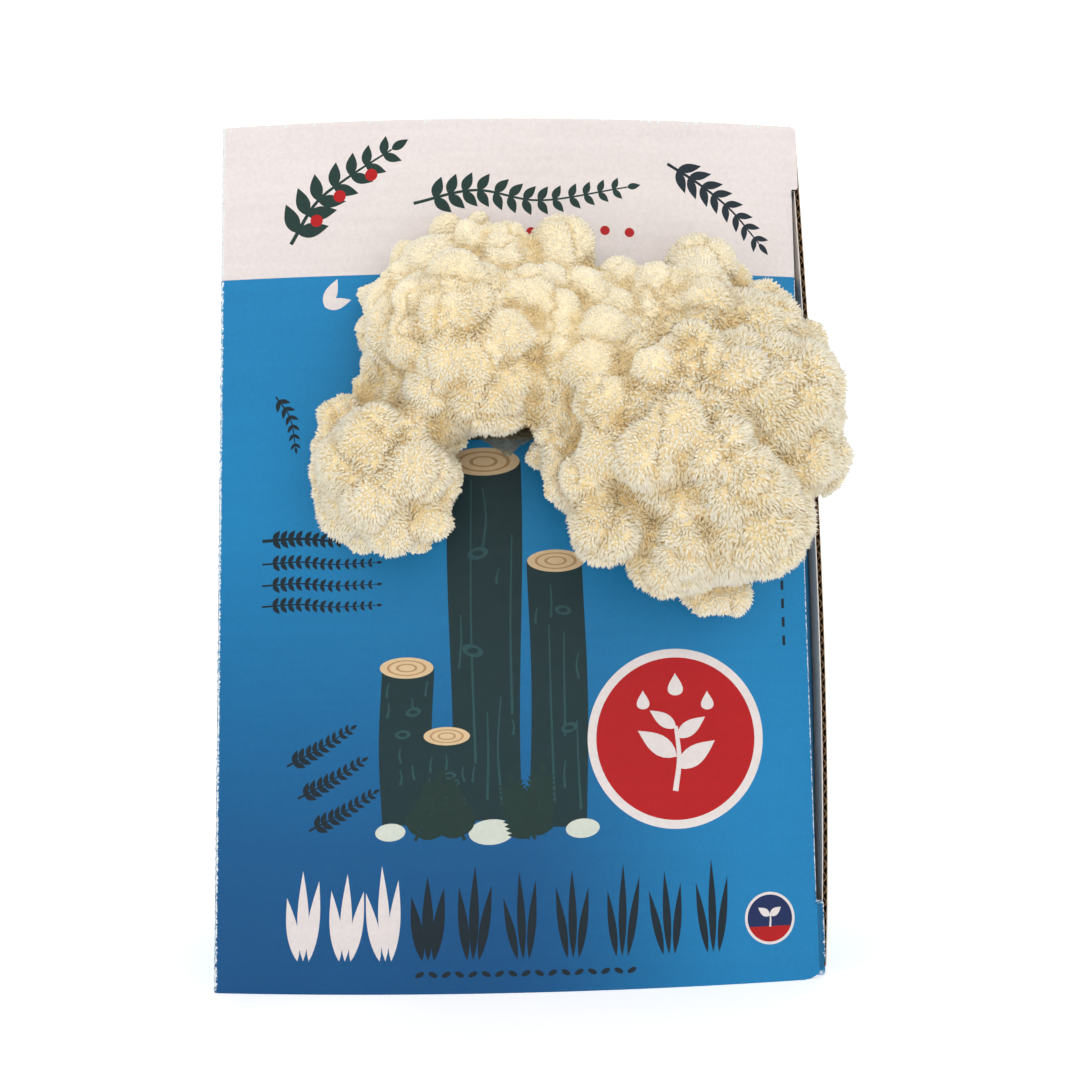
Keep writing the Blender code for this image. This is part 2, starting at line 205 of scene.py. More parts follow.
def addValues(mesh, **values):
    # one number for each point, which materials read by its name
    for name, array in values.items():
        mesh.attributes.new(name, "FLOAT", "POINT")
        mesh.attributes[name].data.foreach_set("value", np.asarray(array, dtype=np.float32))


def addPiece(name, mesh, material, slot, *nodes):
    mesh.materials.append(material)
    piece = bpy.data.objects.new(name, mesh)
    scene.collection.objects.link(piece)
    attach(piece, "root")
    if nodes:
        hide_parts(*nodes)
    return piece


def join(*parts):
    # parts are (points, faces) or (points, faces, ink); their indices are shifted in turn
    starts = np.cumsum([0] + [len(part[0]) for part in parts[:-1]])
    points = np.concatenate([part[0] for part in parts])
    faces = np.concatenate([part[1] + start for part, start in zip(parts, starts)])
    if len(parts[0]) == 2:
        return points, faces
    return points, faces, np.concatenate([part[2] for part in parts])


def faceNormals(points, faces):
    # (b - a) x (c - a): along the normal, as long as twice the face's area
    a, b, c = points[faces[:, 0]], points[faces[:, 1]], points[faces[:, 2]]
    return np.cross(b - a, c - a)


def vertexNormals(points, faces):
    # the sum of the normals of the faces round each point, made one long
    normals = np.zeros_like(points)
    crosses = faceNormals(points, faces)
    for corner in range(3):
        np.add.at(normals, faces[:, corner], crosses)
    return normals / np.maximum(np.linalg.norm(normals, axis=1, keepdims=True), 1e-12)


def unit(vectors):
    # each vector over its own length
    return vectors / np.maximum(np.linalg.norm(vectors, axis=-1, keepdims=True), 1e-12)


def waveNoise(points, size, seed, waves=9):
    # a smooth random field near -1..1: the mean of sine waves that run in random directions
    draw = np.random.default_rng(seed)
    directions = unit(draw.normal(size=(waves, points.shape[1])))
    lengths = size * draw.uniform(0.7, 1.5, waves)
    phases = draw.uniform(0, 2 * math.pi, waves)
    turns = points @ directions.T * (2 * math.pi / lengths) + phases
    return np.sin(turns).sum(axis=1) / math.sqrt(waves)


def waves(points, size, seeds):
    # one such field for each axis
    return np.stack([waveNoise(points, size, seed) for seed in seeds], axis=1)


def smoothStep(value, low, high):
    # 3 s^2 - 2 s^3 of the share s of the way from low to high
    share = np.clip((value - low) / (high - low), 0.0, 1.0)
    return share * share * (3 - 2 * share)


def linear(red, green, blue):
    # a colour as it looks on a screen, turned into the light values that a shader takes
    share = np.array([red, green, blue]) / 255.0
    return np.where(share <= 0.04045, share / 12.92, ((share + 0.055) / 1.055) ** 2.4)


# Material helpers

def paintMaterial(name, roughness=0.6):
    material = bpy.data.materials.new(name)
    material.use_nodes = True
    shader = material.node_tree.nodes["Principled BSDF"]
    shader.inputs["Roughness"].default_value = roughness
    return material, material.node_tree, shader


def feed(tree, socket, value):
    # a socket takes a link from another socket, a colour or a number
    if isinstance(value, bpy.types.NodeSocket):
        tree.links.new(value, socket)
    elif socket.type == "RGBA":
        socket.default_value = (*value, 1.0)
    else:
        socket.default_value = value


def addNode(tree, kind, **inputs):
    node = tree.nodes.new(kind)
    for socket, value in inputs.items():
        feed(tree, node.inputs[socket.replace("_", " ")], value)
    return node


def objectPlace(tree):
    return tree.nodes.new("ShaderNodeTexCoord").outputs["Object"]


def stretched(tree, place, scale):
    return addNode(tree, "ShaderNodeMapping", Vector=place, Scale=scale).outputs["Vector"]


def cloud(tree, place, scale, detail=3.0, roughness=0.5):
    node = addNode(tree, "ShaderNodeTexNoise", Vector=place, Scale=scale, Detail=detail, Roughness=roughness)
    return node.outputs["Fac"]


def ramp(tree, source, *stops):
    node = addNode(tree, "ShaderNodeValToRGB", Fac=source)
    elements = node.color_ramp.elements
    while len(elements) < len(stops):
        elements.new(0.5)
    for element, (position, colour) in zip(elements, stops):
        element.position = position
        element.color = (*colour, 1.0)
    return node.outputs["Color"]


def blendColours(tree, kind, share, first, second):
    node = tree.nodes.new("ShaderNodeMix")
    node.data_type = "RGBA"
    node.blend_type = kind
    node.clamp_factor = True
    for number, value in ((0, share), (6, first), (7, second)):     # the sockets for colours
        feed(tree, node.inputs[number], value)
    return node.outputs[2]


def maths(tree, operation, first, second):
    node = tree.nodes.new("ShaderNodeMath")
    node.operation = operation
    feed(tree, node.inputs[0], first)
    feed(tree, node.inputs[1], second)
    return node.outputs[0]


def product(tree, first, second):
    return maths(tree, "MULTIPLY", first, second)


def total(tree, first, second):
    return maths(tree, "ADD", first, second)


def spread(tree, source, low, high, toLow=0.0, toHigh=1.0):
    ends = {"From_Min": low, "From_Max": high, "To_Min": toLow, "To_Max": toHigh}
    return addNode(tree, "ShaderNodeMapRange", Value=source, **ends).outputs["Result"]


def carried(tree, name):
    node = tree.nodes.new("ShaderNodeAttribute")
    node.attribute_name = name
    return node


def grey(tree, value):
    node = tree.nodes.new("ShaderNodeCombineColor")
    for socket in node.inputs:
        feed(tree, socket, value)
    return node.outputs[0]


def relief(tree, shader, height, strength, distance):
    node = addNode(tree, "ShaderNodeBump", Height=height, Strength=strength, Distance=distance)
    feed(tree, shader.inputs["Normal"], node.outputs["Normal"])


print("scene: frame read, carton", np.round(trayHigh - trayLow, 1))
addCamera()
addLights()
addFloor()
print("scene: camera, lights and floor")


# Printed board

inks = {
    "blue": linear(20, 124, 178),
    "white": linear(223, 214, 212),
    "darkGreen": linear(26, 52, 47),
    "red": linear(176, 14, 20),
    "navy": linear(24, 40, 86),
    # the lighter line on the left crease: ink thinned on the fold, partly a painted highlight of its glossy
    # round
    "thinInkAndSheen": linear(112, 176, 210),
    "ink": linear(16, 34, 44),
    "trunk": linear(20, 48, 52),
    "bark": linear(38, 74, 78),
    "cream": linear(214, 186, 146),
    "pale": linear(206, 212, 200),
    "ring": linear(176, 138, 96),
    "innerLiner": linear(232, 226, 218),
    "linerEdge": linear(206, 190, 168),
    # near black: painted shade in the hollow flutes between the liners
    "kraft": linear(150, 116, 84),
    "hollowFluteShade": linear(40, 28, 20),
}


def lidBulge(x):
    # a shallow cylinder: the bulge times one less the square of the way to the edge
    return carton["bulge"] * np.maximum(0.0, 1.0 - (x / carton["halfWidth"]) ** 2)


def wallBow(z, y):
    # a sine of the height, a little low, that grows towards the open front edge of the wall
    share = np.clip(z / carton["height"], 0.0, 1.0) ** 0.8
    along = carton["wallBowEnds"] + carton["wallBow"] * np.sin(math.pi * share)
    depth = carton["back"] - carton["front"]
    return along * (np.maximum(0.0, carton["back"] - y) / depth) ** 1.5


lidCut = {
    "topShoulder": 18.4,
    "bottomShoulder": 20.4,
    "shoulderReach": 1.7,
    "corner": 1.5,
    "lowCorner": 6.0,
    "flapDepth": 36.0,
    "flapLean": 7.4,
    "flapGap": 1.6,
    "flapCorner": 14.0,
    "foldRadius": 0.9,
    "holeX": -1.0,
    "holeZ": 163.5,
    "holeHalfWidth": 24.0,
    "holeHalfHeight": 18.5,
    "holeCorner": 12.0,
    "bandFoot": 191.2,      # height where the white header meets the blue
    "shadeAndGradient": (0.80, 0.62, 0.50),     # what is lost of the ink's red, green and blue towards the lower left: painted shade of the light's falloff and the heads' soft shadow, and partly a printed gradient
    "flapShade": 0.6,         # the tuck flap's share of the front's blue: painted shade in the slit between fold and wall
    # the painted shade grows below this height, and across from none at the first x to full at the second
    "shadeStart": 118.0,
    "shadeAcross": (66.0, -4.0),
}
foldX = carton["halfWidth"] - lidCut["shoulderReach"]
creaseTurn = carton["creaseRadius"] * math.pi / 2
lidLeft = -carton["halfWidth"] + carton["creaseRadius"] - creaseTurn - 0.3


def arcPoints(x, z, radius, start, end, steps):
    # centre + radius * (cos, sin) of even angles
    turn = np.radians(np.linspace(start, end, steps + 1))
    return np.stack([x + radius * np.cos(turn), z + radius * np.sin(turn)], axis=1)


def lidOutline():
    # the front panel with its two right shoulders, and the tuck flap unfolded beyond the fold
    half, top = carton["halfWidth"], carton["height"]
    low, corner = lidCut["lowCorner"], lidCut["corner"]
    notch = lidCut["shoulderReach"] / 2
    foot, head = lidCut["bottomShoulder"], top - lidCut["topShoulder"]
    flapFoot, flapHead = foot + lidCut["flapGap"], head - lidCut["flapGap"]
    reach, bend = foldX + lidCut["flapDepth"], lidCut["flapCorner"]
    return np.concatenate([
        [[lidLeft, 0.0]],
        arcPoints(half - low, low, low, -90, 0, 6),
        arcPoints(half - notch, foot - notch, notch, 0, 90, 3),
        [[foldX, foot], [foldX, flapFoot]],
        arcPoints(reach - bend, flapFoot + bend, bend, -90, 0, 9),
        arcPoints(reach - bend, flapHead - bend, bend, 0, 90, 9),
        [[foldX, flapHead], [foldX, head]],
        arcPoints(half - notch, head + notch, notch, -90, 0, 3),
        arcPoints(half - corner, top - corner, corner, 0, 90, 4),
        [[lidLeft, top]],
    ])


def holeOutline():
    # a rectangle with large round corners
    across = lidCut["holeHalfWidth"] - lidCut["holeCorner"]
    up = lidCut["holeHalfHeight"] - lidCut["holeCorner"]
    corners = []
    for turn, side, level in ((0, 1, 1), (90, -1, 1), (180, -1, -1), (270, 1, -1)):
        centre = (lidCut["holeX"] + side * across, lidCut["holeZ"] + level * up)
        corners.append(arcPoints(*centre, lidCut["holeCorner"], turn, turn + 90, 8))
    return np.concatenate(corners)


def placeLid(u, v):
    # left of the front the sheet rounds the crease to the hinge wall; right of the fold, between
    # the shoulders, it turns back, leans out to the bowed wall and then runs along it
    half, front, radius = carton["halfWidth"], carton["front"], carton["creaseRadius"]
    turn = np.clip((-half + radius - u) / radius, 0.0, math.pi / 2)
    past = np.maximum(0.0, lidLeft + 0.3 - u)
    x = np.where(turn > 0, -half + radius - radius * np.sin(turn), u)
    y = front - lidBulge(np.maximum(x, -half)) + radius * (1 - np.cos(turn)) + past
    z = v + 0.0 * u
    fold, start = lidCut["foldRadius"], foldX - lidCut["foldRadius"]
    wallY = front + lidCut["flapLean"]
    wallX = half - carton["board"] - 0.25 + wallBow(v, wallY)
    lean = np.arctan2(wallY - front - fold, wallX - foldX)
    bend = np.clip((u - start) / fold, 0.0, lean)
    bentX, bentY = start + fold * np.sin(lean), front - lidBulge(foldX) + fold * (1 - np.cos(lean))
    run = np.hypot(wallX - bentX, wallY - bentY)
    along = np.clip(u - start - fold * lean, 0.0, run) / run
    beyond = np.maximum(0.0, u - start - fold * lean - run)
    foldedX = np.where(along > 0, bentX + (wallX - bentX) * along, start + fold * np.sin(bend))
    foldedY = front - lidBulge(foldX) + fold * (1 - np.cos(bend))
    foldedY = np.where(along > 0, bentY + (wallY - bentY) * along, foldedY)
    foldedX = np.where(beyond > 0, half - carton["board"] - 0.25 + wallBow(v, wallY + beyond), foldedX)
    foldedY = np.where(beyond > 0, wallY + beyond, foldedY)
    foot, head = lidCut["bottomShoulder"], carton["height"] - lidCut["topShoulder"]
    folded = (u > start) & (v > foot + 0.01) & (v < head - 0.01)
    return np.stack([np.where(folded, foldedX, x), np.where(folded, foldedY, y), z], axis=1)


wrapCut = {
    "sideEnd": 1.7,         # how far a side wall's end stays inside the end walls' outer face
    "sideBend": 1.0,
    "dustFlap": 5.0,
    "backEnd": 1.2,
    "tuckDeep": 5.0,        # how deep one sees between the liners at the wall's open edge
}
sideRun = carton["back"] - carton["creaseRadius"] - carton["wallFront"]
backRun = 2 * (carton["halfWidth"] - carton["creaseRadius"])
wrapSteps = np.cumsum([0.0, sideRun, creaseTurn, backRun, creaseTurn, sideRun - 0.2])


def placeWrap(u, v):
    # seen from outside the sheet runs right: back along the tuck-side wall, round the corner,
    # across the back, round the corner and forward along the hinge wall
    half, back, radius = carton["halfWidth"], carton["back"], carton["creaseRadius"]
    first, second, third, fourth, _ = wrapSteps[1:]
    turnA = np.clip((u - first) / radius, 0, math.pi / 2)
    turnB = np.clip((u - third) / radius, 0, math.pi / 2)
    across = np.clip(u - second, 0, backRun)
    x = half - radius * (1 - np.cos(turnA)) - across - radius * np.sin(turnB)
    y = carton["wallFront"] + np.minimum(u, first) + radius * np.sin(turnA)
    y = y - radius * (1 - np.cos(turnB)) - np.maximum(0, u - fourth)
    bend, end = wrapCut["sideBend"], wrapCut["sideEnd"]
    side = (u < first + creaseTurn / 2) | (u > third + creaseTurn / 2)
    over = v - (carton["height"] - end - bend)
    under = end + bend - v
    ends = np.maximum(over, under)
    turn = np.clip(ends / bend, 0, math.pi / 2)
    lift = bend * np.sin(turn)
    tucked = bend * (1 - np.cos(turn)) + np.maximum(0, ends - bend * math.pi / 2)
    z = np.where(side & (over > 0), carton["height"] - end - bend + lift, v)
    z = np.where(side & (under > 0), end + bend - lift, z)
    inwards = np.where(side, tucked, 0.0)
    x = x + np.where(u < second, -inwards + wallBow(z, y) * (u < first), inwards)
    return np.stack([x, y, z], axis=1)


def wrapOutline():
    # both side walls and the back unfolded, with a short dust flap at each side wall's ends
    end = wrapCut["dustFlap"] + wrapCut["sideBend"] * (math.pi / 2 - 1)
    sideLow, sideHigh = wrapCut["sideEnd"] - end, carton["height"] - wrapCut["sideEnd"] + end
    low, high = wrapCut["backEnd"], carton["height"] - wrapCut["backEnd"]
    start, first, second, third, fourth, stop = wrapSteps
    return np.array([
        [start + 8, sideLow], [first - 3, sideLow], [first + 0.3, low + 1.4], [second - 0.3, low],
        [third + 0.3, low], [fourth - 0.3, low + 1.4], [fourth + 3, sideLow], [stop - 8, sideLow],
        [stop, 2.7], [stop, carton["height"] - 2.7],
        [stop - 8, sideHigh], [fourth + 3, sideHigh], [fourth - 0.3, high - 1.4], [third + 0.3, high],
        [second - 0.3, high], [first + 0.3, high - 1.4], [first - 3, sideHigh], [start + 8, sideHigh],
        [start, carton["height"] - 2.7], [start, 2.7],
    ])


rollCut = {
    "radius": 1.7,
    "depth": 70.0,          # how far the rolled sheet comes back inside
    "endDeep": 1.6,
}


def placeEnd(u, v):
    # from the back crease the sheet runs forward over the end, rolls over at the front and
    # comes back inside; v is the depth on the outside
    back, radius, roll = carton["back"], carton["creaseRadius"], rollCut["radius"]
    top = carton["height"]
    backTurn = np.clip((v - back + radius) / radius, 0, math.pi / 2)
    frontStart = carton["wallFront"] + roll
    frontTurn = np.clip((frontStart - v) / roll, 0, math.pi)
    beyond = np.maximum(0, frontStart - v - roll * math.pi)
    y = np.clip(v, frontStart, back - radius) + radius * np.sin(backTurn) - roll * np.sin(frontTurn)
    z = top - radius * (1 - np.cos(backTurn)) - roll * (1 - np.cos(frontTurn))
    bow = np.where(u > 0, wallBow(top, y) * u / carton["halfWidth"], 0.0)
    return np.stack([u + bow, y + beyond, z], axis=1)


def placeBottomEnd(u, v):
    # the same sheet under the carton, turned over
    points = placeEnd(-u, v)
    points[:, 2] = carton["height"] - points[:, 2]
    return points


def endOutline():
    # a rectangle from the roll's inner end to just past the back crease
    half, back = carton["halfWidth"], carton["back"]
    backEdge = back - carton["creaseRadius"] + creaseTurn
    frontEdge = carton["wallFront"] + rollCut["radius"] * (1 - math.pi) - rollCut["depth"]
    return np.array([[-half, frontEdge], [half, frontEdge], [half, backEdge], [-half, backEdge]])


def inked(shape, ink):
    return np.asarray(shape, dtype=float), inks[ink]


def disc(x, z, radius, steps=40):
    # a whole circle, its first point not repeated
    return arcPoints(x, z, radius, 0, 360 * (1 - 1 / steps), steps - 1)


def oval(x, z, length, width, angle, steps=20):
    # (length / 2 * cos, width / 2 * sin), then turned and moved
    turn = np.linspace(0, 2 * math.pi, steps, endpoint=False)
    return turned(np.stack([length / 2 * np.cos(turn), width / 2 * np.sin(turn)], axis=1), angle, x, z)


def turned(shape, angle, x, z):
    # turned by the angle about (0, 0), then moved to (x, z)
    c, s = math.cos(math.radians(angle)), math.sin(math.radians(angle))
    return shape @ np.array([[c, s], [-s, c]]) + (x, z)


def leaf(x, z, length, width, angle, steps=9):
    # grows from its foot at (x, z): half width is the sine of the way along, fuller near the foot
    share = np.linspace(0, 1, steps)
    half = width / 2 * np.sin(math.pi * share ** 0.8)
    side = np.stack([length * share, half], axis=1)
    other = np.stack([length * share[-2:0:-1], -half[-2:0:-1]], axis=1)
    return turned(np.concatenate([other[::-1], side[::-1]]), angle, x, z)


def drop(x, z, size, angle=90, steps=24):
    # a teardrop: a circle drawn out to a point where the turn is zero
    turn = np.linspace(0, 2 * math.pi, steps, endpoint=False)
    shape = np.stack([size * np.cos(turn), size * np.sin(turn) * np.sin(turn / 2) ** 1.6], axis=1)
    return turned(shape, angle, x, z)


def stroke(path, startWidth, endWidth=None, smooth=6):
    # a line through a few points, smoothed, with a width that runs evenly from start to end
    path = curveThrough(path, smooth)
    along = unit(np.gradient(path, axis=0))
    across = np.stack([-along[:, 1], along[:, 0]], axis=1)
    endWidth = startWidth if endWidth is None else endWidth
    half = np.linspace(startWidth, endWidth, len(path))[:, None] / 2
    return np.concatenate([path - across * half, (path + across * half)[::-1]])


def curveThrough(points, steps=6):
    # a Catmull-Rom curve: each stretch bends towards its neighbours
    points = np.asarray(points, dtype=float)
    if len(points) == 2:
        return np.linspace(points[0], points[1], 3)
    padded = np.concatenate([[2 * points[0] - points[1]], points, [2 * points[-1] - points[-2]]])
    t = np.linspace(0, 1, steps, endpoint=False)[:, None]
    pieces = []
    for a, b, c, d in zip(padded, padded[1:], padded[2:], padded[3:]):
        pieces.append(0.5 * (2 * b + (c - a) * t + (2 * a - 5 * b + 4 * c - d) * t ** 2
                             + (3 * b - a - 3 * c + d) * t ** 3))
    return np.concatenate(pieces + [points[-1:]])


def sprig(path, pairs, leafLength, leafWidth, ink, stemWidth=0.7, splay=48, berries=None):
    # a curved stem with leaves on both sides that shorten towards its tip, and berries between
    line = curveThrough(path, 12)
    gone = np.cumsum(np.linalg.norm(np.diff(line, axis=0, prepend=line[:1]), axis=1))
    even = np.linspace(0, gone[-1], 8 * pairs)
    line = np.stack([np.interp(even, gone, line[:, k]) for k in (0, 1)], axis=1)
    stops = np.linspace(0.1, 0.94, pairs) * (len(line) - 1)
    shapes = [inked(stroke(path, stemWidth, stemWidth * 0.45, 8), ink)]
    for number, stop in enumerate(stops.astype(int)):
        ahead = line[min(stop + 1, len(line) - 1)] - line[max(stop - 1, 0)]
        heading = math.degrees(math.atan2(ahead[1], ahead[0]))
        size = 1.0 - 0.45 * number / pairs
        for side in (1, -1):
            blade = leaf(*line[stop], leafLength * size, leafWidth * size, heading + side * splay)
            shapes.append(inked(blade, ink))
        if berries and number % 2 == 1:
            off = np.array([-ahead[1], ahead[0]]) / np.linalg.norm(ahead) * leafLength * 0.34
            shapes.append(inked(disc(*(line[stop] + off * (-1) ** number), berries, 14), "red"))
    shapes.append(inked(leaf(*line[-1], leafLength * 0.6, leafWidth * 0.6, heading), ink))
    return shapes


def sprigs(*rows):
    return [shape for row in rows for shape in sprig(*row)]


def roundel(x, z, outer, inner, ink):
    # a disc with a white ring
    return [inked(disc(x, z, outer, 96), "white"), inked(disc(x, z, inner, 96), ink)]


def seedling(x, z, size, ink):
    # a short stem with two leaves
    stem = [(x, z - size), (x + size * 0.05, z - size * 0.4), (x, z)]
    shapes = [stroke(stem, size * 0.16, size * 0.1)]
    shapes += [leaf(x, z - size * 0.15, size * 1.15, size * 0.6, angle) for angle in (35, 145)]
    return [inked(shape, ink) for shape in shapes]


def sawnLog(x, foot, head, width, seed):
    # an upright log: two slightly wavy sides, bark lines and knots, and a sawn end with year rings
    draw = np.random.default_rng(seed)
    up = np.linspace(foot, head, 12)
    sway = np.sin(np.linspace(0, 5, 12) + seed) * width * 0.035
    left = np.stack([x - width / 2 + sway, up], axis=1)
    right = np.stack([x + width / 2 + sway[::-1], up], axis=1)
    shapes = [inked(np.concatenate([left[::-1], right]), "trunk")]
    for place in np.linspace(-0.36, 0.36, max(3, int(width / 3.4))):
        cuts = np.sort(draw.uniform(foot + 3, head - 4, 4))
        for low, high in ((cuts[0], cuts[1]), (cuts[2], cuts[3])):
            high = max(high, low + 4)
            line = x + place * width + draw.uniform(-0.5, 0.5, 3)
            path = [(line[0], low), (line[1], (low + high) / 2), (line[2], high)]
            shapes.append(inked(stroke(path, 0.7, 0.35), "bark"))
    for level in draw.uniform(foot + 6, head - 10, 2):
        place = x + draw.uniform(-0.2, 0.2) * width
        shapes.append(inked(oval(place, level, width * 0.30, width * 0.17, draw.uniform(-20, 20)), "bark"))
        shapes.append(inked(oval(place, level, width * 0.16, width * 0.08, 0), "trunk"))
    for scale, ink in ((1.0, "cream"), (0.74, "ring"), (0.64, "cream"), (0.40, "ring"), (0.30, "cream")):
        shapes.append(inked(oval(x, head, width * 1.02 * scale, width * 0.40 * scale, 0, 36), ink))
    return shapes


def logDrawing():
    # a group of hardwood logs of different heights with ferns and pale stones at their feet
    shapes = []
    logs = ((-8.5, 44, 139, 19), (-29.5, 43, 84, 14), (10.5, 42, 112, 15), (-19.0, 41, 66, 12))
    for x, foot, head, width in logs:
        shapes += sawnLog(x, foot, head, width, head)
    for x, z, length, height in ((-34, 41.2, 8, 4.6), (-7.5, 41, 12, 6.6), (16.5, 41.5, 9, 5)):
        shapes.append(inked(oval(x, z, length, height, 4), "pale"))
    for x, tilt in ((-27.5, -24), (-14.5, 20), (2.0, -14), (4.0, 26)):
        reach = 19.0 - 0.2 * abs(tilt)
        top = (x - reach * math.sin(math.radians(tilt)), 39 + reach)
        middle = ((x + top[0]) / 2 - tilt * 0.05, 39 + reach * 0.55)
        shapes += sprig([(x, 39), middle, top], 11, 6.6, 2.3, "darkGreen", 0.9, 60)
    return shapes


def grassBand():
    # clumps of three blades that fan out from one foot: white ones, then dark, slimmer ones
    shapes = []
    clumps = [(-57.0, 3.1, "white"), (-46.0, 3.1, "white"), (-35.4, 3.0, "white"), (-24.3, 3.0, "ink"),
              (-12.6, 2.6, "ink"), (0.4, 2.2, "ink"), (13.4, 2.2, "ink"), (26.2, 2.1, "ink"),
              (38.6, 2.1, "ink"), (50.4, 2.1, "ink")]
    for number, (x, width, ink) in enumerate(clumps):
        lean = 1.5 * math.sin(number * 2.1)
        for side, height in ((-1, 17.5), (0, 23.0), (1, 19.5)):
            height = height + 1.4 * math.sin(number * 3.7 + side)
            slant = 90 - math.degrees(math.atan2(side * 2.8 + 0.6 * lean, height))
            shapes.append(inked(leaf(x + side * 1.5, 8.4, height, width, slant, 14), ink))
    return shapes


def lidDrawing():
    # the sheet starts white; the blue lies below the header, and the rest is drawn over both
    shapes = [inked([(-100, -20), (140, -20), (140, lidCut["bandFoot"]), (-100, lidCut["bandFoot"])], "blue")]
    shapes += sprigs(
        ([(-61, 200.5), (-54, 212), (-45, 219), (-33, 226.5)], 7, 9.0, 4.2, "darkGreen", 1.1, 50, 1.75),
        ([(-27, 211), (-10, 214.5), (8, 211.5), (32, 215.5)], 13, 6.4, 3.1, "darkGreen", 0.9, 56),
    )
    for number in range(9):
        shapes.append(inked(disc(-22 + 6.8 * number, 202.6 + 0.5 * (number % 2), 1.35, 16), "red"))
    shapes += sprig([(43.5, 222.5), (53, 216.5), (61.5, 209.5), (69, 200.5)], 8, 7.0, 2.7, "ink", 0.9, 42)
    for length, width, angle in ((8.5, 3.6, 66), (7.5, 3.2, 14)):
        shapes.append(inked(leaf(-51.5, 182.5, length, width, angle), "white"))
    shapes += sprig([(-65, 158), (-61, 152), (-59.5, 144)], 6, 3.4, 1.3, "ink", 0.5, 42)
    for row, width in ((118.5, 0.9), (112.2, 0.5), (106.4, 0.5), (100.8, 0.5)):
        path = [(-68.5, row), (-58, row + 0.5), (-49, row - 0.3), (-37.5, row)]
        shapes += sprig(path, 13, 2.3 + width, 1.1 + 0.5 * width, "ink", width, 52)
    for row in range(3):
        start = np.array([-61.5 + 3.0 * row, 58.5 - 8.4 * row])
        shapes += sprig([start, start + (8.5, 4.4), start + (17, 9.6)], 9, 3.6, 1.6, "ink", 0.6, 46)
    shapes += logDrawing()
    shapes += roundel(41.9, 64.3, 23.7, 21.4, "red")
    shapes += [inked(stroke([(41.4, 50.5), (42.6, 59), (41.9, 67.5)], 1.5, 1.0), "white")]
    for side, z, length in ((1, 56.5, 12.5), (-1, 59.5, 12.5), (1, 64.5, 9.5), (-1, 67.0, 8.5)):
        shapes.append(inked(leaf(42.0, z, length, length * 0.42, 90 - side * 56), "white"))
    for x, z, size in ((33.2, 74.6, 2.5), (42.0, 78.6, 3.0), (50.6, 74.2, 2.5)):
        shapes.append(inked(drop(x, z, size), "white"))
    shapes += roundel(66.0, 16.5, 6.8, 6.1, "navy")
    shapes += [inked(arcPoints(66.0, 16.5, 6.1, 200, 340, 18), "red")]
    shapes += seedling(66.0, 17.6, 3.3, "white")
    shapes += grassBand()
    # a lighter line down the left crease: thinned ink, partly a painted highlight
    shapes += [inked(stroke([(-80.4, 8), (-80.3, 70), (-80.4, 130), (-80.5, 190)], 0.15, 0.6), "thinInkAndSheen")]
    for number in range(17):
        shapes.append(inked(oval(-26.5 + 3.45 * number, 4.9, 2.5, 1.3, 25 - 50 * (number % 2)), "ink"))
    for number in range(5):
        shapes.append(inked(stroke([(72.4, 88.5 + 5 * number), (72.4, 91.1 + 5 * number)], 0.8), "ink"))
    return shapes


def wrapDrawing():
    # the header and the blue run on round the sides; the back has three roundels and a garland
    band = lidCut["bandFoot"]
    middle = (wrapSteps[2] + wrapSteps[3]) / 2
    shapes = [inked([(-40, -40), (500, -40), (500, band), (-40, band)], "blue")]
    garland = [(middle - 52, 211), (middle - 18, 215), (middle + 16, 210), (middle + 52, 214)]
    shapes += sprig(garland, 19, 7.4, 3.4, "darkGreen", 1.0, 54, 1.5)
    for offset, ink in ((-50, "red"), (0, "darkGreen"), (50, "navy")):
        shapes += roundel(middle + offset, 120, 19.5, 17.6, ink)
    shapes += [inked(drop(middle - 50, 119, 8.4), "white")]
    shapes += seedling(middle, 124, 9.5, "white")
    shapes += [inked(disc(middle + 50, 120, 5.6), "white")]
    ray = np.array([(7.6, -0.9), (12.4, 0.0), (7.6, 0.9)])
    for step in range(8):
        shapes.append(inked(turned(ray, 45 * step, middle + 50, 120), "white"))
    garland = [(middle - 44, 38), (middle - 14, 42), (middle + 14, 36), (middle + 44, 40)]
    shapes += sprig(garland, 15, 7.0, 3.0, "ink", 0.9, 50)
    hingeMiddle = (wrapSteps[4] + wrapSteps[5]) / 2
    tuckMiddle = sideRun / 2
    for place in (hingeMiddle, tuckMiddle):
        tall = [(place, 32), (place - 7, 64), (place + 6, 96), (place, 132)]
        wide = [(place - 26, 211), (place, 214), (place + 26, 210)]
        shapes += sprigs((tall, 15, 13.0, 5.2, "white", 1.3, 46), (wide, 9, 7.0, 3.2, "darkGreen", 0.9, 54))
    return shapes


def topDrawing():
    # one garland across the white top
    return sprig([(-50, 2), (-20, 8), (12, -4), (50, 4)], 17, 9.0, 4.0, "darkGreen", 1.1, 52, 1.8)


def bottomDrawing():
    # all blue
    return [inked([(-120, -300), (120, -300), (120, 100), (-120, 100)], "blue")]


def spacedAlong(outline, step):
    # the closed outline with points added so that none lie further apart than the step
    pieces = []
    for start, end in zip(outline, np.roll(outline, -1, axis=0)):
        count = max(1, int(math.ceil(np.linalg.norm(end - start) / step)))
        pieces.append(start + (end - start) * np.arange(count)[:, None] / count)
    return np.concatenate(pieces)


def signedArea(outline):
    # half the sum of x z' - x' z round the loop: positive when it runs anticlockwise
    x, z = outline[:, 0], outline[:, 1]
    return 0.5 * np.sum(x * np.roll(z, -1) - np.roll(x, -1) * z)


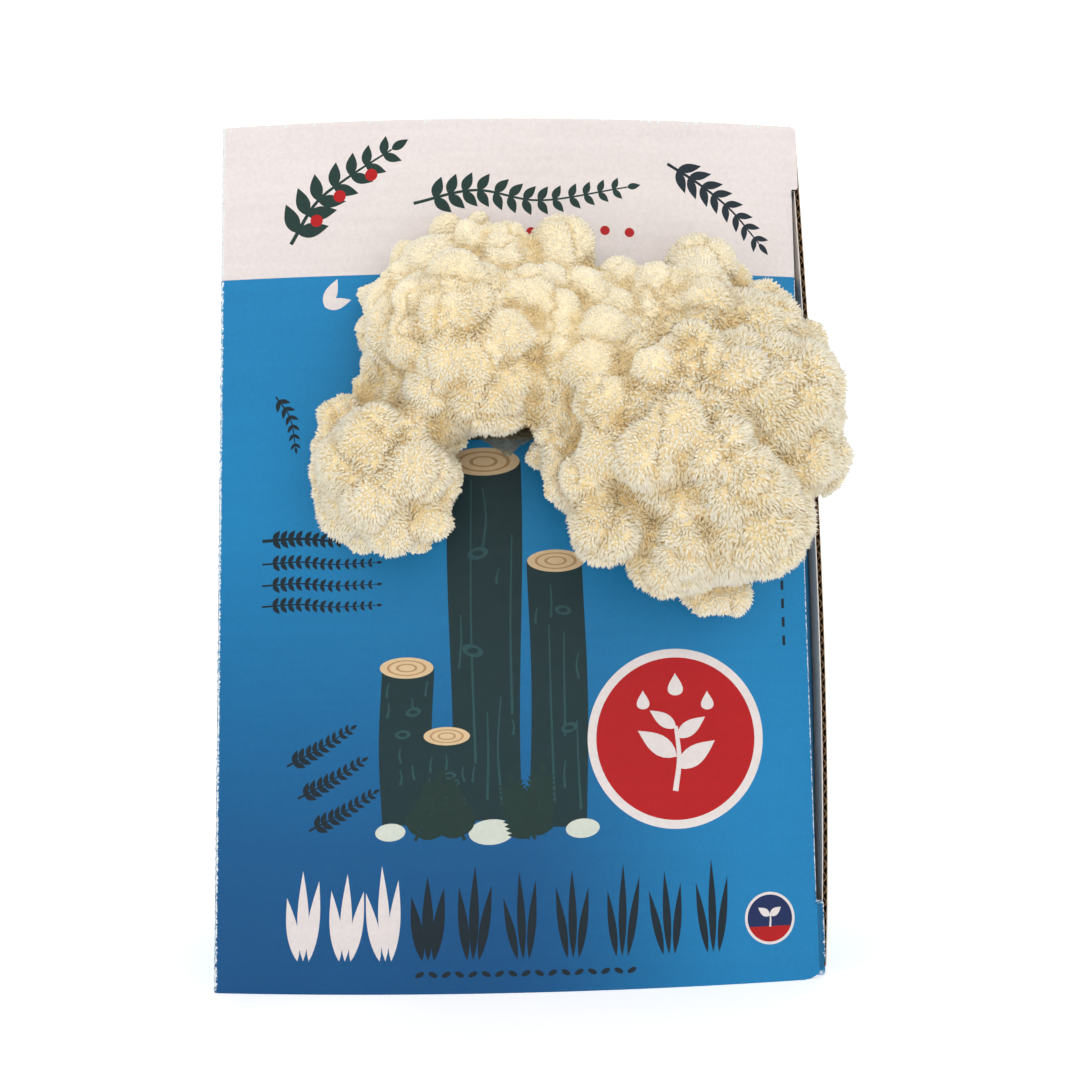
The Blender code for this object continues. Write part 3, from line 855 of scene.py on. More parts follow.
def sheetTriangles(outline, holes, shapes, columns, rows, shadeAndGradient):
    # triangles that fill the outline and keep every line of the drawing as an edge
    u, v = np.meshgrid(columns, rows)
    loops = [spacedAlong(loop, carton["edgeStep"]) for loop in (outline, *holes)]
    loops += [spacedAlong(shape, carton["printStep"]) for shape, _ in shapes]
    loops = [loop if signedArea(loop) > 0 else loop[::-1] for loop in loops]
    points = np.concatenate(loops + [np.stack([u.ravel(), v.ravel()], axis=1)])
    starts = np.cumsum([0] + [len(loop) for loop in loops])
    rings = [list(range(start, start + len(loop))) for start, loop in zip(starts, loops)]
    made = delaunay_2d_cdt(points.tolist(), [], rings, 0, 1e-5, True)
    flat = np.array([tuple(point) for point in made[0]])
    kept, ink = [], []
    barred = set(range(1, 1 + len(holes)))
    for face, inside in zip(made[2], made[5]):
        if 0 in inside and not barred.intersection(inside):
            drawn = max(inside) - 1 - len(holes)
            kept.append(face)
            ink.append(shapes[drawn][1] if drawn >= 0 else inks["white"])
    used, faces = np.unique(np.array(kept), return_inverse=True)
    flat, faces = flat[used], faces.reshape(-1, 3)
    ink = np.repeat(np.array(ink)[:, None], 3, axis=1)
    # the blue is darkened by what the given function returns: painted shade, on the lid partly a printed
    # gradient
    blue = np.all(ink[:, 0] == inks["blue"], axis=1)
    ink[blue] *= shadeAndGradient(flat[faces[blue]])
    return flat, faces, ink


def noPaintedShade(flat):
    # the ink as it is
    return np.ones(flat.shape[:-1] + (1,))


def lowerLeftShadeAndGradient(flat):
    # the blue darkens in a quarter sine down the front and towards its left, as painted shade of the light's
    # falloff and the heads' soft shadow and partly as a printed gradient; on the tuck flap it is darkened as
    # painted shade in the slit
    x, z = flat[..., 0], flat[..., 1]
    down = np.sin(math.pi / 2 * np.clip((lidCut["shadeStart"] - z) / lidCut["shadeStart"], 0.0, 1.0))
    lost = (down * smoothStep(x, *lidCut["shadeAcross"]))[..., None] * lidCut["shadeAndGradient"]
    return np.where(x[..., None] > foldX, lidCut["flapShade"], 1.0 - lost)


def boardFrom(place, flat, faces, ink, deepEdge):
    # the printed face, a plain face one board behind it, and rims whose middle is set back
    # between the two liners; deepEdge(u, v) says how far
    # the set-back walls and floor of each rim are painted near black: painted shade in the hollow flutes
    outer = place(flat[:, 0], flat[:, 1])
    normals = vertexNormals(outer, faces)
    board, liner = carton["board"], carton["liner"]
    count = len(outer)
    edges = np.concatenate([faces[:, [0, 1]], faces[:, [1, 2]], faces[:, [2, 0]]])
    key = np.sort(edges, axis=1)
    _, first, times = np.unique(key, axis=0, return_index=True, return_counts=True)
    rim = edges[first[times == 1]]
    after = np.full(count, -1)
    before = np.full(count, -1)
    after[rim[:, 0]] = rim[:, 1]
    before[rim[:, 1]] = rim[:, 0]
    edge = np.where(after >= 0)[0]
    along = unit(outer[after[edge]] - outer[before[edge]])
    inwards = np.cross(normals[edge], along)
    deep = deepEdge(flat[edge, 0], flat[edge, 1])[:, None]
    steps = [(liner, 0.0), (liner, 1.0), (board - liner, 1.0), (board - liner, 0.0)]
    rings = [outer[edge] - normals[edge] * depth + inwards * deep * inset for depth, inset in steps]
    points = np.concatenate([outer, outer - normals * board] + rings)
    slot = np.full(count, -1)
    slot[edge] = np.arange(len(edge))
    chain = [2 * count + len(edge) * step + slot for step in range(4)]
    chain = [np.arange(count)] + chain + [count + np.arange(count)]
    strips, stripInk = [], []
    for level, name in enumerate(("linerEdge", "hollowFluteShade", "hollowFluteShade", "hollowFluteShade", "innerLiner")):
        a, b = chain[level][rim[:, 0]], chain[level][rim[:, 1]]
        c, d = chain[level + 1][rim[:, 1]], chain[level + 1][rim[:, 0]]
        strips += [np.stack([a, d, b], axis=1), np.stack([b, d, c], axis=1)]
        stripInk.append(np.tile(inks[name], (2 * len(rim), 3, 1)))
    allFaces = np.concatenate([faces, faces[:, ::-1] + count] + strips)
    allInk = np.concatenate([ink, np.tile(inks["innerLiner"], (len(faces), 3, 1))] + stripInk)
    return points, allFaces, allInk


def fluteRibbon(place, u, vStart, vEnd, inwards, deep):
    # the wavy middle sheet seen at a cut edge: a strip whose place between the liners is a sine
    # of the height; inwards is +1 or -1, the way the sheet lies from its edge along u
    steps = int((vEnd - vStart) / carton["flutePitch"] * 14)
    v = np.linspace(vStart, vEnd, steps + 1)
    edge = np.full_like(v, u)
    here = place(edge, v)
    along = unit(place(edge, v + 0.05) - place(edge, v - 0.05))
    side = unit(place(edge + 0.05 * inwards, v) - here)
    normal = np.cross(side, along) * inwards
    swing = carton["board"] / 2 - carton["liner"] - 0.06
    middle = carton["board"] / 2 + swing * np.sin(2 * math.pi * v / carton["flutePitch"])
    corners = []
    for offset, inset in ((-0.09, 0.06), (0.09, 0.06), (0.09, deep), (-0.09, deep)):
        corners.append(here - normal * (middle + offset)[:, None] + side * inset)
    points = np.stack(corners, axis=1).reshape(-1, 3)
    faces = gridFaces(len(v), 4, closed=True)
    last = 4 * len(v) - 4
    caps = np.array([[0, 1, 2], [0, 2, 3], [last + 2, last + 1, last], [last + 3, last + 2, last]])
    faces = np.concatenate([faces if inwards > 0 else faces[:, ::-1], caps if inwards < 0 else caps[:, ::-1]])
    return points, faces[:, ::-1], np.tile(inks["kraft"], (len(faces), 3, 1))


def wearAt(flat, lines):
    # how scuffed the print is: 1 on each worn line (u0, v0, u1, v1), fading within its width
    wear = np.zeros(len(flat))
    for u0, v0, u1, v1, width in lines:
        start, run = np.array([u0, v0]), np.array([u1 - u0, v1 - v0])
        share = np.clip((flat - start) @ run / (run @ run), 0, 1)
        away = np.linalg.norm(flat - start - share[:, None] * run, axis=1)
        wear = np.maximum(wear, 1 - smoothStep(away, 0.25 * width, width))
    return wear


boardLook = {
    "wornWhite": linear(226, 232, 234),
    "wornFrom": 0.84,       # wear and fibres together: where the print starts to go, and where it is gone
    "wornTo": 0.90,
    "reliefStrength": 0.28,
    "reliefDepth": 0.00008,
}


def printedBoardMaterial():
    material, tree, shader = paintMaterial("printedBoard", roughness=0.46)
    place = objectPlace(tree)
    mottle = spread(tree, cloud(tree, place, 900.0, 4.0, 0.6), 0.3, 0.7, 0.955, 1.045)
    patches = spread(tree, cloud(tree, place, 26.0, 3.0), 0.3, 0.7, 0.975, 1.02)
    streaks = cloud(tree, stretched(tree, place, (14.0, 14.0, 330.0)), 1.0, 2.0)
    tone = product(tree, patches, spread(tree, streaks, 0.3, 0.7, 0.975, 1.025))
    tone = grey(tree, product(tree, mottle, tone))
    toned = blendColours(tree, "MULTIPLY", 1.0, carried(tree, "ink").outputs["Color"], tone)
    fibres = cloud(tree, stretched(tree, place, (1100.0, 1100.0, 1500.0)), 1.0, 3.0, 0.7)
    worn = product(tree, carried(tree, "wear").outputs["Fac"], 0.42)
    torn = spread(tree, total(tree, worn, fibres), boardLook["wornFrom"], boardLook["wornTo"])
    feed(tree, shader.inputs["Base Color"], blendColours(tree, "MIX", torn, toned, boardLook["wornWhite"]))
    rough = spread(tree, cloud(tree, place, 420.0, 3.0), 0.3, 0.7, 0.42, 0.54)
    feed(tree, shader.inputs["Roughness"], rough)
    shader.inputs["Specular IOR Level"].default_value = 0.25
    pitch = carton["flutePitch"] * metresPerMm
    fluteLines = addNode(tree, "ShaderNodeTexWave", Vector=place, Scale=0.314 / pitch, Distortion=0.0)
    fluteLines.bands_direction = "Z"
    fine = cloud(tree, place, 1600.0, 3.0, 0.6)
    height = total(tree, product(tree, fluteLines.outputs["Fac"], 0.45), product(tree, fine, 0.5))
    relief(tree, shader, height, boardLook["reliefStrength"], boardLook["reliefDepth"])
    return material


def addBoard(name, mould, ribbons, slot, node, wear):
    # mould is what boardFrom made; the ink lies on face corners, so its edges stay sharp
    points, faces, ink = join(mould, *ribbons)
    mesh = meshFrom(name, points, faces)
    mesh.set_sharp_from_angle(angle=math.radians(38))
    corner = mesh.attributes.new("ink", "FLOAT_COLOR", "CORNER")
    colours = np.concatenate([ink, np.ones((len(ink), 3, 1))], axis=2)
    corner.data.foreach_set("color", colours.astype(np.float32).ravel())
    addValues(mesh, wear=np.pad(wear, (0, len(points) - len(wear))))
    addPiece(name, mesh, printedBoard, slot, node)


def spacing(*stretches):
    # an even row of places through each (start, end, step), without repeats
    rows = [np.arange(start, end, step) for start, end, step in stretches]
    return np.unique(np.round(np.concatenate(rows), 4))


printedBoard = printedBoardMaterial()
top = carton["height"]


def addLidBoard():
    half = carton["halfWidth"]
    columns = spacing((lidLeft, -half + 1.4, 0.3), (-half + 1.6, foldX - 1, 2.6),
                      (foldX - 1, foldX + 1.2, 0.2), (foldX + 1.6, foldX + 12, 0.9),
                      (foldX + 12, foldX + 36, 4.0))
    rows = spacing((0.5, top, 2.6))
    sheet = sheetTriangles(lidOutline(), [holeOutline()], lidDrawing(), columns, rows, lowerLeftShadeAndGradient)
    mould = boardFrom(placeLid, *sheet, lambda u, v: np.full(len(u), 0.5))
    foot, head = lidCut["bottomShoulder"], top - lidCut["topShoulder"]
    wear = wearAt(sheet[0], [
        (0.6 - half, 0, 0.6 - half, top, 1.1), (-40, -0.24, half, -0.24, 0.35),
        (foldX, foot, foldX, head, 0.7), (foldX - 3, foot, half, foot, 0.8),
        (half, 5, half, foot, 0.6), (-half, top, half, top, 0.3),
    ])
    addBoard("lid_board", mould, [], "printed_lid", "carton_lid", wear)


def addTrayWrap():
    start, first, second, third, fourth, stop = wrapSteps
    tuckDeep = wrapCut["tuckDeep"]
    columns = spacing((start, first, 5.0), (first - 0.6, second + 0.6, 0.3), (second + 1, third, 5.0),
                      (third - 0.6, fourth + 0.6, 0.3), (fourth + 1, stop, 5.0))
    rows = spacing((-4.0, 3.0, 0.35), (3.5, top - 3, 4.5), (top - 3, top + 4, 0.35))
    sheet = sheetTriangles(wrapOutline(), [], wrapDrawing(), columns, rows, noPaintedShade)

    def deepEdge(u, v):
        return np.where((u < 0.01) & (v > 4) & (v < top - 4), tuckDeep, 0.5)

    mould = boardFrom(placeWrap, *sheet, deepEdge)
    ribbons = [fluteRibbon(placeWrap, 0.0, 2.8, top - 2.8, 1, tuckDeep)]
    wear = wearAt(sheet[0], [
        (first + 0.9, 0, first + 0.9, top, 1.2), (third + 0.9, 0, third + 0.9, top, 1.2),
        (0, 2.3, first, 2.3, 1.0), (0, top - 2.3, first, top - 2.3, 1.0),
        (second, 1.2, third, 1.2, 1.0), (second, top - 1.2, third, top - 1.2, 0.8),
        (fourth, 2.3, stop, 2.3, 1.0), (fourth, top - 2.3, stop, top - 2.3, 1.0),
    ])
    addBoard("tray_wrap", mould, ribbons, "printed_board", "carton_tray", wear)


def addEndWall(name, place, drawing):
    outline, half = endOutline(), carton["halfWidth"]
    low, high = outline[0, 1], outline[2, 1]
    front, back = carton["wallFront"], carton["back"]
    rows = spacing((low, front - 6, 6.0), (front - 6, front + 2.2, 0.3), (front + 4, back - 3, 6.0),
                   (back - 1.6, high, 0.25))
    columns = spacing((-half + 2, half, 6.0))
    sheet = sheetTriangles(outline, [], drawing, columns, rows, noPaintedShade)
    mould = boardFrom(place, *sheet, lambda u, v: np.where(np.abs(u) > half - 0.1, rollCut["endDeep"], 0.4))
    ribbons = [fluteRibbon(place, side * half, front + 2, back - 1.5, -side, rollCut["endDeep"])
               for side in (1, -1)]
    wear = wearAt(sheet[0], [(-82, back, 82, back, 0.9), (-82, front, 82, front, 1.2)])
    addBoard(name, mould, ribbons, "printed_board", "carton_tray", wear)


addLidBoard()
print("scene: lid")
addTrayWrap()
addEndWall("end_wall_top", placeEnd, topDrawing())
addEndWall("end_wall_bottom", placeBottomEnd, bottomDrawing())
print("scene: tray")


# Mushroom. A lump is: across, up, out of the front plane, radius to its spines' tips.

heads = {
    "left": [
        (-32.5, 133.5, 22, 19), (-23, 150, 15, 9),
        (-45, 149, 18, 7), (-46.5, 141, 18, 7.3), (-46.5, 133, 17, 8), (-43, 124.5, 18, 9.4),
        (-39.5, 157.5, 12, 5), (-33.5, 155, 16, 5), (-34.5, 141.5, 33, 9), (-24.5, 132, 33, 9.5),
        (-34, 126.5, 33, 10), (-26, 142.5, 31, 7), (-18.5, 131.5, 27, 6.5), (-22, 122, 26, 7.5),
        (-30.5, 119.5, 27, 8.5), (-40.5, 119.5, 16, 6.5), (-19.5, 143, 23, 5), (-15.5, 142, 16, 3.8),
        (-25.5, 117, 16, 5), (-41, 136, 30, 9),
    ],
    "top": [
        (-12.5, 168.5, 24, 20), (-7, 184.5, 17, 13), (-13, 157.5, 24, 16), (0, 163.5, 26, 13),
        (-16.5, 199, 12, 6.8), (-9, 203.5, 8, 4.6), (-26, 191, 14, 7.3), (-12, 194.5, 25, 4.4),
        (-1.5, 193.5, 22, 6.6), (13, 193, 18, 10), (12, 184, 20, 6), (-33, 183.5, 14, 5),
        (-37.5, 183, 10, 4.8), (-37, 172, 12, 6.4), (-34, 163.5, 15, 6.8), (-14, 179, 35, 8.5),
        (3.5, 176, 32, 8.6), (13.5, 177.5, 26, 2.2), (-24.5, 175, 33, 6), (-16.5, 168.5, 40, 7.2),
        (-1, 164.5, 39, 6.8), (-26, 165, 33, 7.5), (-16.5, 159.5, 38, 8), (-8, 158.5, 39, 7.5),
        (-1.5, 155, 35, 6.8), (-20, 152.5, 32, 8.3), (-8.5, 150.5, 32, 10), (-28.5, 156, 22, 6.7),
        (-3.5, 150.5, 28, 6.6), (-28, 183, 21, 7), (-31.5, 173.5, 21, 7.5),
    ],
    "right": [
        (40, 141, 33, 23), (56.5, 148.5, 28, 22.5), (53.5, 124, 28, 21), (27, 157.5, 26, 17),
        (40.5, 169, 20, 18), (23.5, 129.5, 26, 15), (59, 166.5, 18, 16), (42, 113.5, 25, 13),
        (20, 160.5, 22, 13), (17, 177, 12, 9.5), (13, 145, 18, 9),
        (50, 188, 14, 11), (60, 186.5, 12, 5.8), (28, 182, 20, 8.8), (37, 178.5, 28, 8.2),
        (12, 167.5, 30, 6.7), (21.5, 164.5, 37, 8), (9.5, 157, 26, 6.6), (18, 156, 38, 7.7),
        (21, 147, 42, 8.5), (32, 154, 48, 6.2), (42.5, 157.5, 45, 9.2), (8, 147.5, 20, 5),
        (15, 144.5, 30, 5), (21.5, 136.5, 43, 8), (36.5, 140, 52, 8.4), (30, 133.5, 48, 9.5),
        (17.5, 130, 38, 8), (9, 128.5, 27, 4), (7, 138, 20, 5), (22, 118.5, 33, 11),
        (46.5, 133.5, 49, 10.5), (67.5, 151, 35, 14.3), (65.5, 169.5, 26, 9.7), (74, 167, 20, 8.4),
        (76, 135.5, 24, 10.5), (57.5, 119, 36, 15.5), (36, 109, 28, 9.5), (48, 102.5, 15, 6.8),
        (55, 102, 15, 6.8), (41.5, 114.5, 35, 10.5), (52.5, 151, 44, 10.5), (24, 108, 14, 3),
        (39.5, 123.5, 42, 7), (59.5, 167.5, 31, 9), (69, 133.5, 33, 10),
    ],
    "between": [
        (12, 187, 20, 8.5), (9, 180, 26, 7.5), (6, 170, 28, 8), (-20, 187, 22, 9), (-31, 178, 18, 8.5),
        (-31, 168, 23, 8), (-20, 178, 27, 9), (-2, 188, 24, 8), (71, 146, 28, 13), (70, 158, 26, 12),
        (66, 176, 18, 9), (24, 172, 26, 10), (48, 180, 20, 10), (48, 172, 33, 9), (11, 164, 34, 8),
        (10.5, 156, 33, 7.5), (10.2, 149, 29, 7), (10.5, 142, 27, 7.2), (12.5, 134.5, 26, 7),
        (-3.5, 149, 30, 8), (-17, 149.5, 27, 8.5), (-23, 152, 24, 8), (11, 171, 34, 7),
        (18, 180, 25, 6.5), (52, 127, 45, 12),
    ],
}

flesh = {
    "spineShare": 0.36,     # spine length for a lump's radius, before the power below
    "spinePower": 0.9,
    "longest": 3.3,
    "proud": 0.60,          # share of a spine's length that stands out of the skin
    "perSquareMm": 1.8,
    "velvetLength": 0.55,   # share of the length left where the flesh is velvety
    "velvetBorder": [(-52, 190), (-40, 176), (-30, 172), (-12, 174), (4, 166), (14, 156), (26, 152),
                     (40, 170), (54, 184), (70, 196)],      # it is velvety above this line
    "velvetFade": 9.0,
    "rootWidth": 1.10,
    "middleWidth": 0.85,
    "middleAt": 0.57,       # share of the length where a spine starts to draw to its point
    "droop": 0.30,
    "stray": 0.12,
    "tuft": 0.22,
    "tuftSize": 4.2,
    "cushions": 170,        # small cushions that the lumps are made up of
    "cushionSize": 7.0,
    "cushionDepth": 1.5,    # how deep the creases between them are
    "lidClearance": 0.5,
    "skinVoxel": 0.95,
    "skinPasses": 4,
    "creaseFill": 1.2,      # the lumps are fused as if this much larger, then drawn back
    "unevenness": 0.25,
    "creasePasses": 14,
    "creaseFrom": 0.06,     # how far the skin lies under its softened form where a crease starts
    "creaseTo": 0.5,
    "bareInside": 16.0,     # the stem is bare up to here from its middle, and spiny from there on
    "bareOutside": 20.0,
    "bareFrom": -82.0,      # in front of this it is never bare, and behind the next always
    "bareTo": -76.0,
    "neckX": -2.2,
    "neckZ": 162.0,
    "neckRadius": 12.4,
    "neckFoot": -60.1,      # the face of the block that it grows from
    "neckCentres": (-66.0, -72.0, -79.0),
    "stemBalls": [(-2.2, -67.0, 157.5, 10.5), (0.0, -72.0, 155.5, 9.5), (-4.0, -76.0, 156.0, 9.0)],
    "mostTriangles": 190000,
}


def lumpTable(lumps):
    # centres in place, radii to the tips, spine lengths and radii of the skin that they stand out of
    rows = np.array(lumps, dtype=float)
    centres = np.stack([rows[:, 0], carton["front"] - rows[:, 2], rows[:, 1]], axis=1)
    radii = rows[:, 3]
    lengths = np.minimum(flesh["longest"], flesh["spineShare"] * radii ** flesh["spinePower"])
    return centres, radii, lengths, radii - flesh["proud"] * lengths


def sphereGrid(centre, radius, rows=24, columns=36):
    # latitude by longitude
    polar = np.linspace(0, math.pi, rows)
    turn = np.linspace(0, 2 * math.pi, columns, endpoint=False)
    polar, turn = np.meshgrid(polar, turn, indexing="ij")
    x, y, z = np.sin(polar) * np.cos(turn), np.sin(polar) * np.sin(turn), np.cos(polar)
    points = np.stack([x, y, z], axis=-1).reshape(-1, 3) * radius + centre
    return points, gridFaces(rows, columns, closed=True)


def largestSkin(points, faces):
    # every point takes the smallest number among those it is joined to, until none changes
    label = np.arange(len(points))
    edges = np.concatenate([faces[:, [0, 1]], faces[:, [1, 2]], faces[:, [2, 3]]])
    while True:
        smallest = np.minimum(label[edges[:, 0]], label[edges[:, 1]])
        new = label.copy()
        np.minimum.at(new, edges[:, 0], smallest)
        np.minimum.at(new, edges[:, 1], smallest)
        new = new[new]
        if np.array_equal(new, label):
            break
        label = new
    biggest = np.bincount(label).argmax()
    kept = faces[label[faces[:, 0]] == biggest]
    used, kept = np.unique(kept, return_inverse=True)
    return points[used], kept.reshape(-1, 4)


def evened(values, faces, passes):
    # each point's values drawn to the mean of its neighbours, again and again
    edges = np.concatenate([faces[:, [k, (k + 1) % 4]] for k in range(4)])
    edges = np.unique(np.sort(edges, axis=1), axis=0)
    first, second = edges[:, 0], edges[:, 1]
    count = np.bincount(first, minlength=len(values)) + np.bincount(second, minlength=len(values))
    for _ in range(passes):
        totals = np.zeros_like(values)
        for k, value in enumerate(values.T):
            totals[:, k] = np.bincount(first, value[second], len(value))
            totals[:, k] += np.bincount(second, value[first], len(value))
        values = 0.5 * values + 0.5 * totals / count[:, None]
    return values


def lidFace(points):
    # how far forward the lid is at each point, with the clearance
    return carton["front"] - lidBulge(points[:, 0]) - flesh["lidClearance"]


def fromNeck(points):
    # how far each point lies from the neck's axis, seen from the front
    return np.hypot(points[:, 0] - flesh["neckX"], points[:, 2] - flesh["neckZ"])


def nearestLump(points, centres, radii):
    # the lump that holds each point deepest, and how deep
    deepest = np.full(len(points), -1e9)
    which = np.zeros(len(points), dtype=int)
    for number, (centre, radius) in enumerate(zip(centres, radii)):
        depth = radius - np.linalg.norm(points - centre, axis=1)
        better = depth > deepest
        deepest[better] = depth[better]
        which[better] = number
    return which, deepest


def cushioned(points):
    # seeds fall on the skin, the next one likelier far from the others; with d1 and d2 the distances to the
    # nearest two, a cushion rises from the crease where they are equal: 1 - (1 - (d2 - d1) / size) squared
    draw = np.random.default_rng(5)
    nearest = np.full(len(points), 30.0)
    second = nearest.copy()
    for _ in range(flesh["cushions"]):
        chance = np.cumsum(nearest ** 3)
        seed = points[np.searchsorted(chance, draw.uniform() * chance[-1])]
        away = np.linalg.norm(points - seed, axis=1)
        second = np.minimum(second, np.maximum(nearest, away))
        nearest = np.minimum(nearest, away)
    apart = np.clip((second - nearest) / flesh["cushionSize"], 0.0, 1.0)
    return 1 - (1 - apart) ** 2


def fleshSkin(centres, radii, lengths, cores):
    # one even skin round all the lumps and the neck: the fused form, moved out by a random field less
    # the creases between cushions, and more where spines are short. Also what varies over it: the way
    # out, the length that spines have there, how deep it lies in a crease, how velvety and how bare it is
    neck = [np.array([flesh["neckX"], y, flesh["neckZ"]]) for y in flesh["neckCentres"]]
    fill = flesh["creaseFill"]
    balls = [sphereGrid(centre, radius + fill) for centre, radius in zip(centres, cores)]
    balls += [sphereGrid(centre, flesh["neckRadius"] + fill) for centre in neck]
    balls += [sphereGrid(np.array(ball[:3]), ball[3] + fill) for ball in flesh["stemBalls"]]
    points, faces = join(*balls)
    rough = bpy.data.objects.new("roughFlesh", meshFrom("roughFlesh", points, faces))
    scene.collection.objects.link(rough)
    skin = rough.modifiers.new("skin", "REMESH")
    skin.mode = "VOXEL"
    skin.voxel_size = flesh["skinVoxel"] * metresPerMm
    mesh = bpy.data.meshes.new_from_object(rough.evaluated_get(bpy.context.evaluated_depsgraph_get()))
    bpy.data.objects.remove(rough, do_unlink=True)
    points = np.zeros(len(mesh.vertices) * 3)
    mesh.vertices.foreach_get("co", points)
    faces = np.zeros(len(mesh.loops), dtype=int)
    mesh.loops.foreach_get("vertex_index", faces)
    points, faces = largestSkin(points.reshape(-1, 3) / metresPerMm, faces.reshape(-1, 4))
    triangles = np.concatenate([faces[:, [0, 1, 2]], faces[:, [0, 2, 3]]])
    points = points - vertexNormals(evened(points, faces, 2), triangles) * fill
    points = evened(points, faces, flesh["skinPasses"])
    outwards = vertexNormals(points, triangles)
    softer = evened(points, faces, flesh["creasePasses"])
    sunk = np.sum((softer - points) * outwards, axis=1)
    crease = smoothStep(sunk, flesh["creaseFrom"], flesh["creaseTo"])
    which, _ = nearestLump(points, centres, radii)
    border = np.interp(points[:, 0], *np.array(flesh["velvetBorder"], dtype=float).T)
    above = points[:, 2] - border + 7.0 * outwards[:, 2] + 4.0 * waveNoise(points, 14.0, 4)
    velvet = smoothStep(above, -flesh["velvetFade"], flesh["velvetFade"])
    length = lengths[which] * (1 - (1 - flesh["velvetLength"]) * velvet)
    bare = smoothStep(fromNeck(points), flesh["bareOutside"], flesh["bareInside"])
    bare = bare * smoothStep(points[:, 1], flesh["bareFrom"], flesh["bareTo"])
    cushion = cushioned(points + 0.8 * waves(points, 5.0, (7, 9, 10)))
    crease = np.maximum(crease, 0.8 * smoothStep(cushion, 0.45, 0.0))
    uneven = flesh["unevenness"] * (0.6 * waveNoise(points, 7.0, 5) + 0.4 * waveNoise(points, 2.6, 6))
    uneven = uneven - flesh["cushionDepth"] * (1 - cushion)
    grown = uneven + flesh["proud"] * (lengths[which] - length) * (1 - 0.7 * crease)
    points = points + outwards * (grown * (1 - bare))[:, None]
    face = np.where(fromNeck(points) < flesh["neckRadius"] + 0.6, flesh["neckFoot"], lidFace(points))
    points[:, 1] = np.minimum(points[:, 1], face)
    varied = np.stack([length * (1 - bare), crease, velvet, bare], axis=1)
    return points, faces, triangles, vertexNormals(points, triangles), varied


def scatter(points, faces, density, draw):
    # how many fall on each quad follows its area and the density; they lie in rows along one side
    a, b, c, d = (points[faces[:, k]] for k in range(4))
    area = 0.5 * np.linalg.norm(np.cross(c - a, d - b), axis=1)
    count = np.floor(area * density + draw.uniform(size=len(faces))).astype(int)
    quad = np.repeat(np.arange(len(faces)), count)
    rank = np.arange(len(quad)) - np.repeat(np.cumsum(count) - count, count)
    s = (rank + draw.uniform(size=len(quad))) / count[quad]
    t = draw.uniform(size=len(quad))
    swap = draw.uniform(size=len(faces))[quad] < 0.5
    s, t = np.where(swap, t, s), np.where(swap, s, t)
    weights = np.stack([(1 - s) * (1 - t), s * (1 - t), s * t, (1 - s) * t], axis=1)
    return quad, weights


def growSpines(points, faces, outwards, varied, centres, radii, cores, seed):
    # bend = tufts + strays - droop; from its root a spine runs along out + 0.45 bend to its middle, then
    # along out + 1.25 bend to its tip, and is drawn back to the lump's radius and in front of the lid
    draw = np.random.default_rng(seed)
    quad, weights = scatter(points, faces, flesh["perSquareMm"], draw)
    corners = faces[quad]
    roots = np.einsum("nk,nkd->nd", weights, points[corners])
    out = unit(np.einsum("nk,nkd->nd", weights, outwards[corners]))
    length, crease, velvet, _ = np.einsum("nk,nkd->dn", weights, varied[corners])
    kept = (roots[:, 1] < lidFace(roots) - 0.5) & (length > 0.5)
    roots, out, length, crease, velvet = (part[kept] for part in (roots, out, length, crease, velvet))
    length = length * draw.uniform(0.72, 1.08, len(length)) * (1 + 0.12 * waveNoise(roots, 3.0, 21))
    tuft = waves(roots, flesh["tuftSize"], (31, 32, 33))
    fine = waves(roots, flesh["tuftSize"] * 0.4, (34, 35, 36))
    bend = flesh["tuft"] * (0.6 * tuft + 0.5 * fine) + flesh["stray"] * draw.normal(size=roots.shape)
    bend[:, 2] -= flesh["droop"] * (1 - velvet)
    roots = roots - out * ((1 - flesh["proud"]) * length + 0.1)[:, None]
    start = unit(out + 0.45 * bend)
    finish = unit(out + 1.25 * bend)
    middles = roots + start * (0.1 + flesh["middleAt"] * length)[:, None]
    tips = middles + finish * ((1 - flesh["middleAt"]) * length)[:, None]
    which, _ = nearestLump(roots, centres, radii)
    reach = np.linalg.norm(tips - centres[which], axis=1)
    most = np.maximum(radii[which], np.linalg.norm(roots - centres[which], axis=1) + 0.8)
    tips = centres[which] + (tips - centres[which]) * np.minimum(1.0, most / reach)[:, None]
    for ends in (middles, tips):
        ends[:, 1] = np.minimum(ends[:, 1], lidFace(ends))
    _, hidden = nearestLump(tips, centres, cores - flesh["cushionDepth"])
    tips = tips + (middles - tips) * np.clip(hidden / 1.5, 0, 0.7)[:, None]
    return roots, middles, tips, crease, draw


spineFaces = [(2, 1, 0), (0, 1, 4), (0, 4, 3), (1, 2, 5), (1, 5, 4), (2, 0, 3), (2, 3, 5),
              (3, 4, 6), (4, 5, 6), (5, 3, 6)]


def ringAround(places, side, other, turns, width):
    # place + (side * cos + other * sin) * width / 2
    return places[:, None] + (side[:, None] * np.cos(turns)[:, :, None]
                              + other[:, None] * np.sin(turns)[:, :, None]) * width[:, None, None] / 2


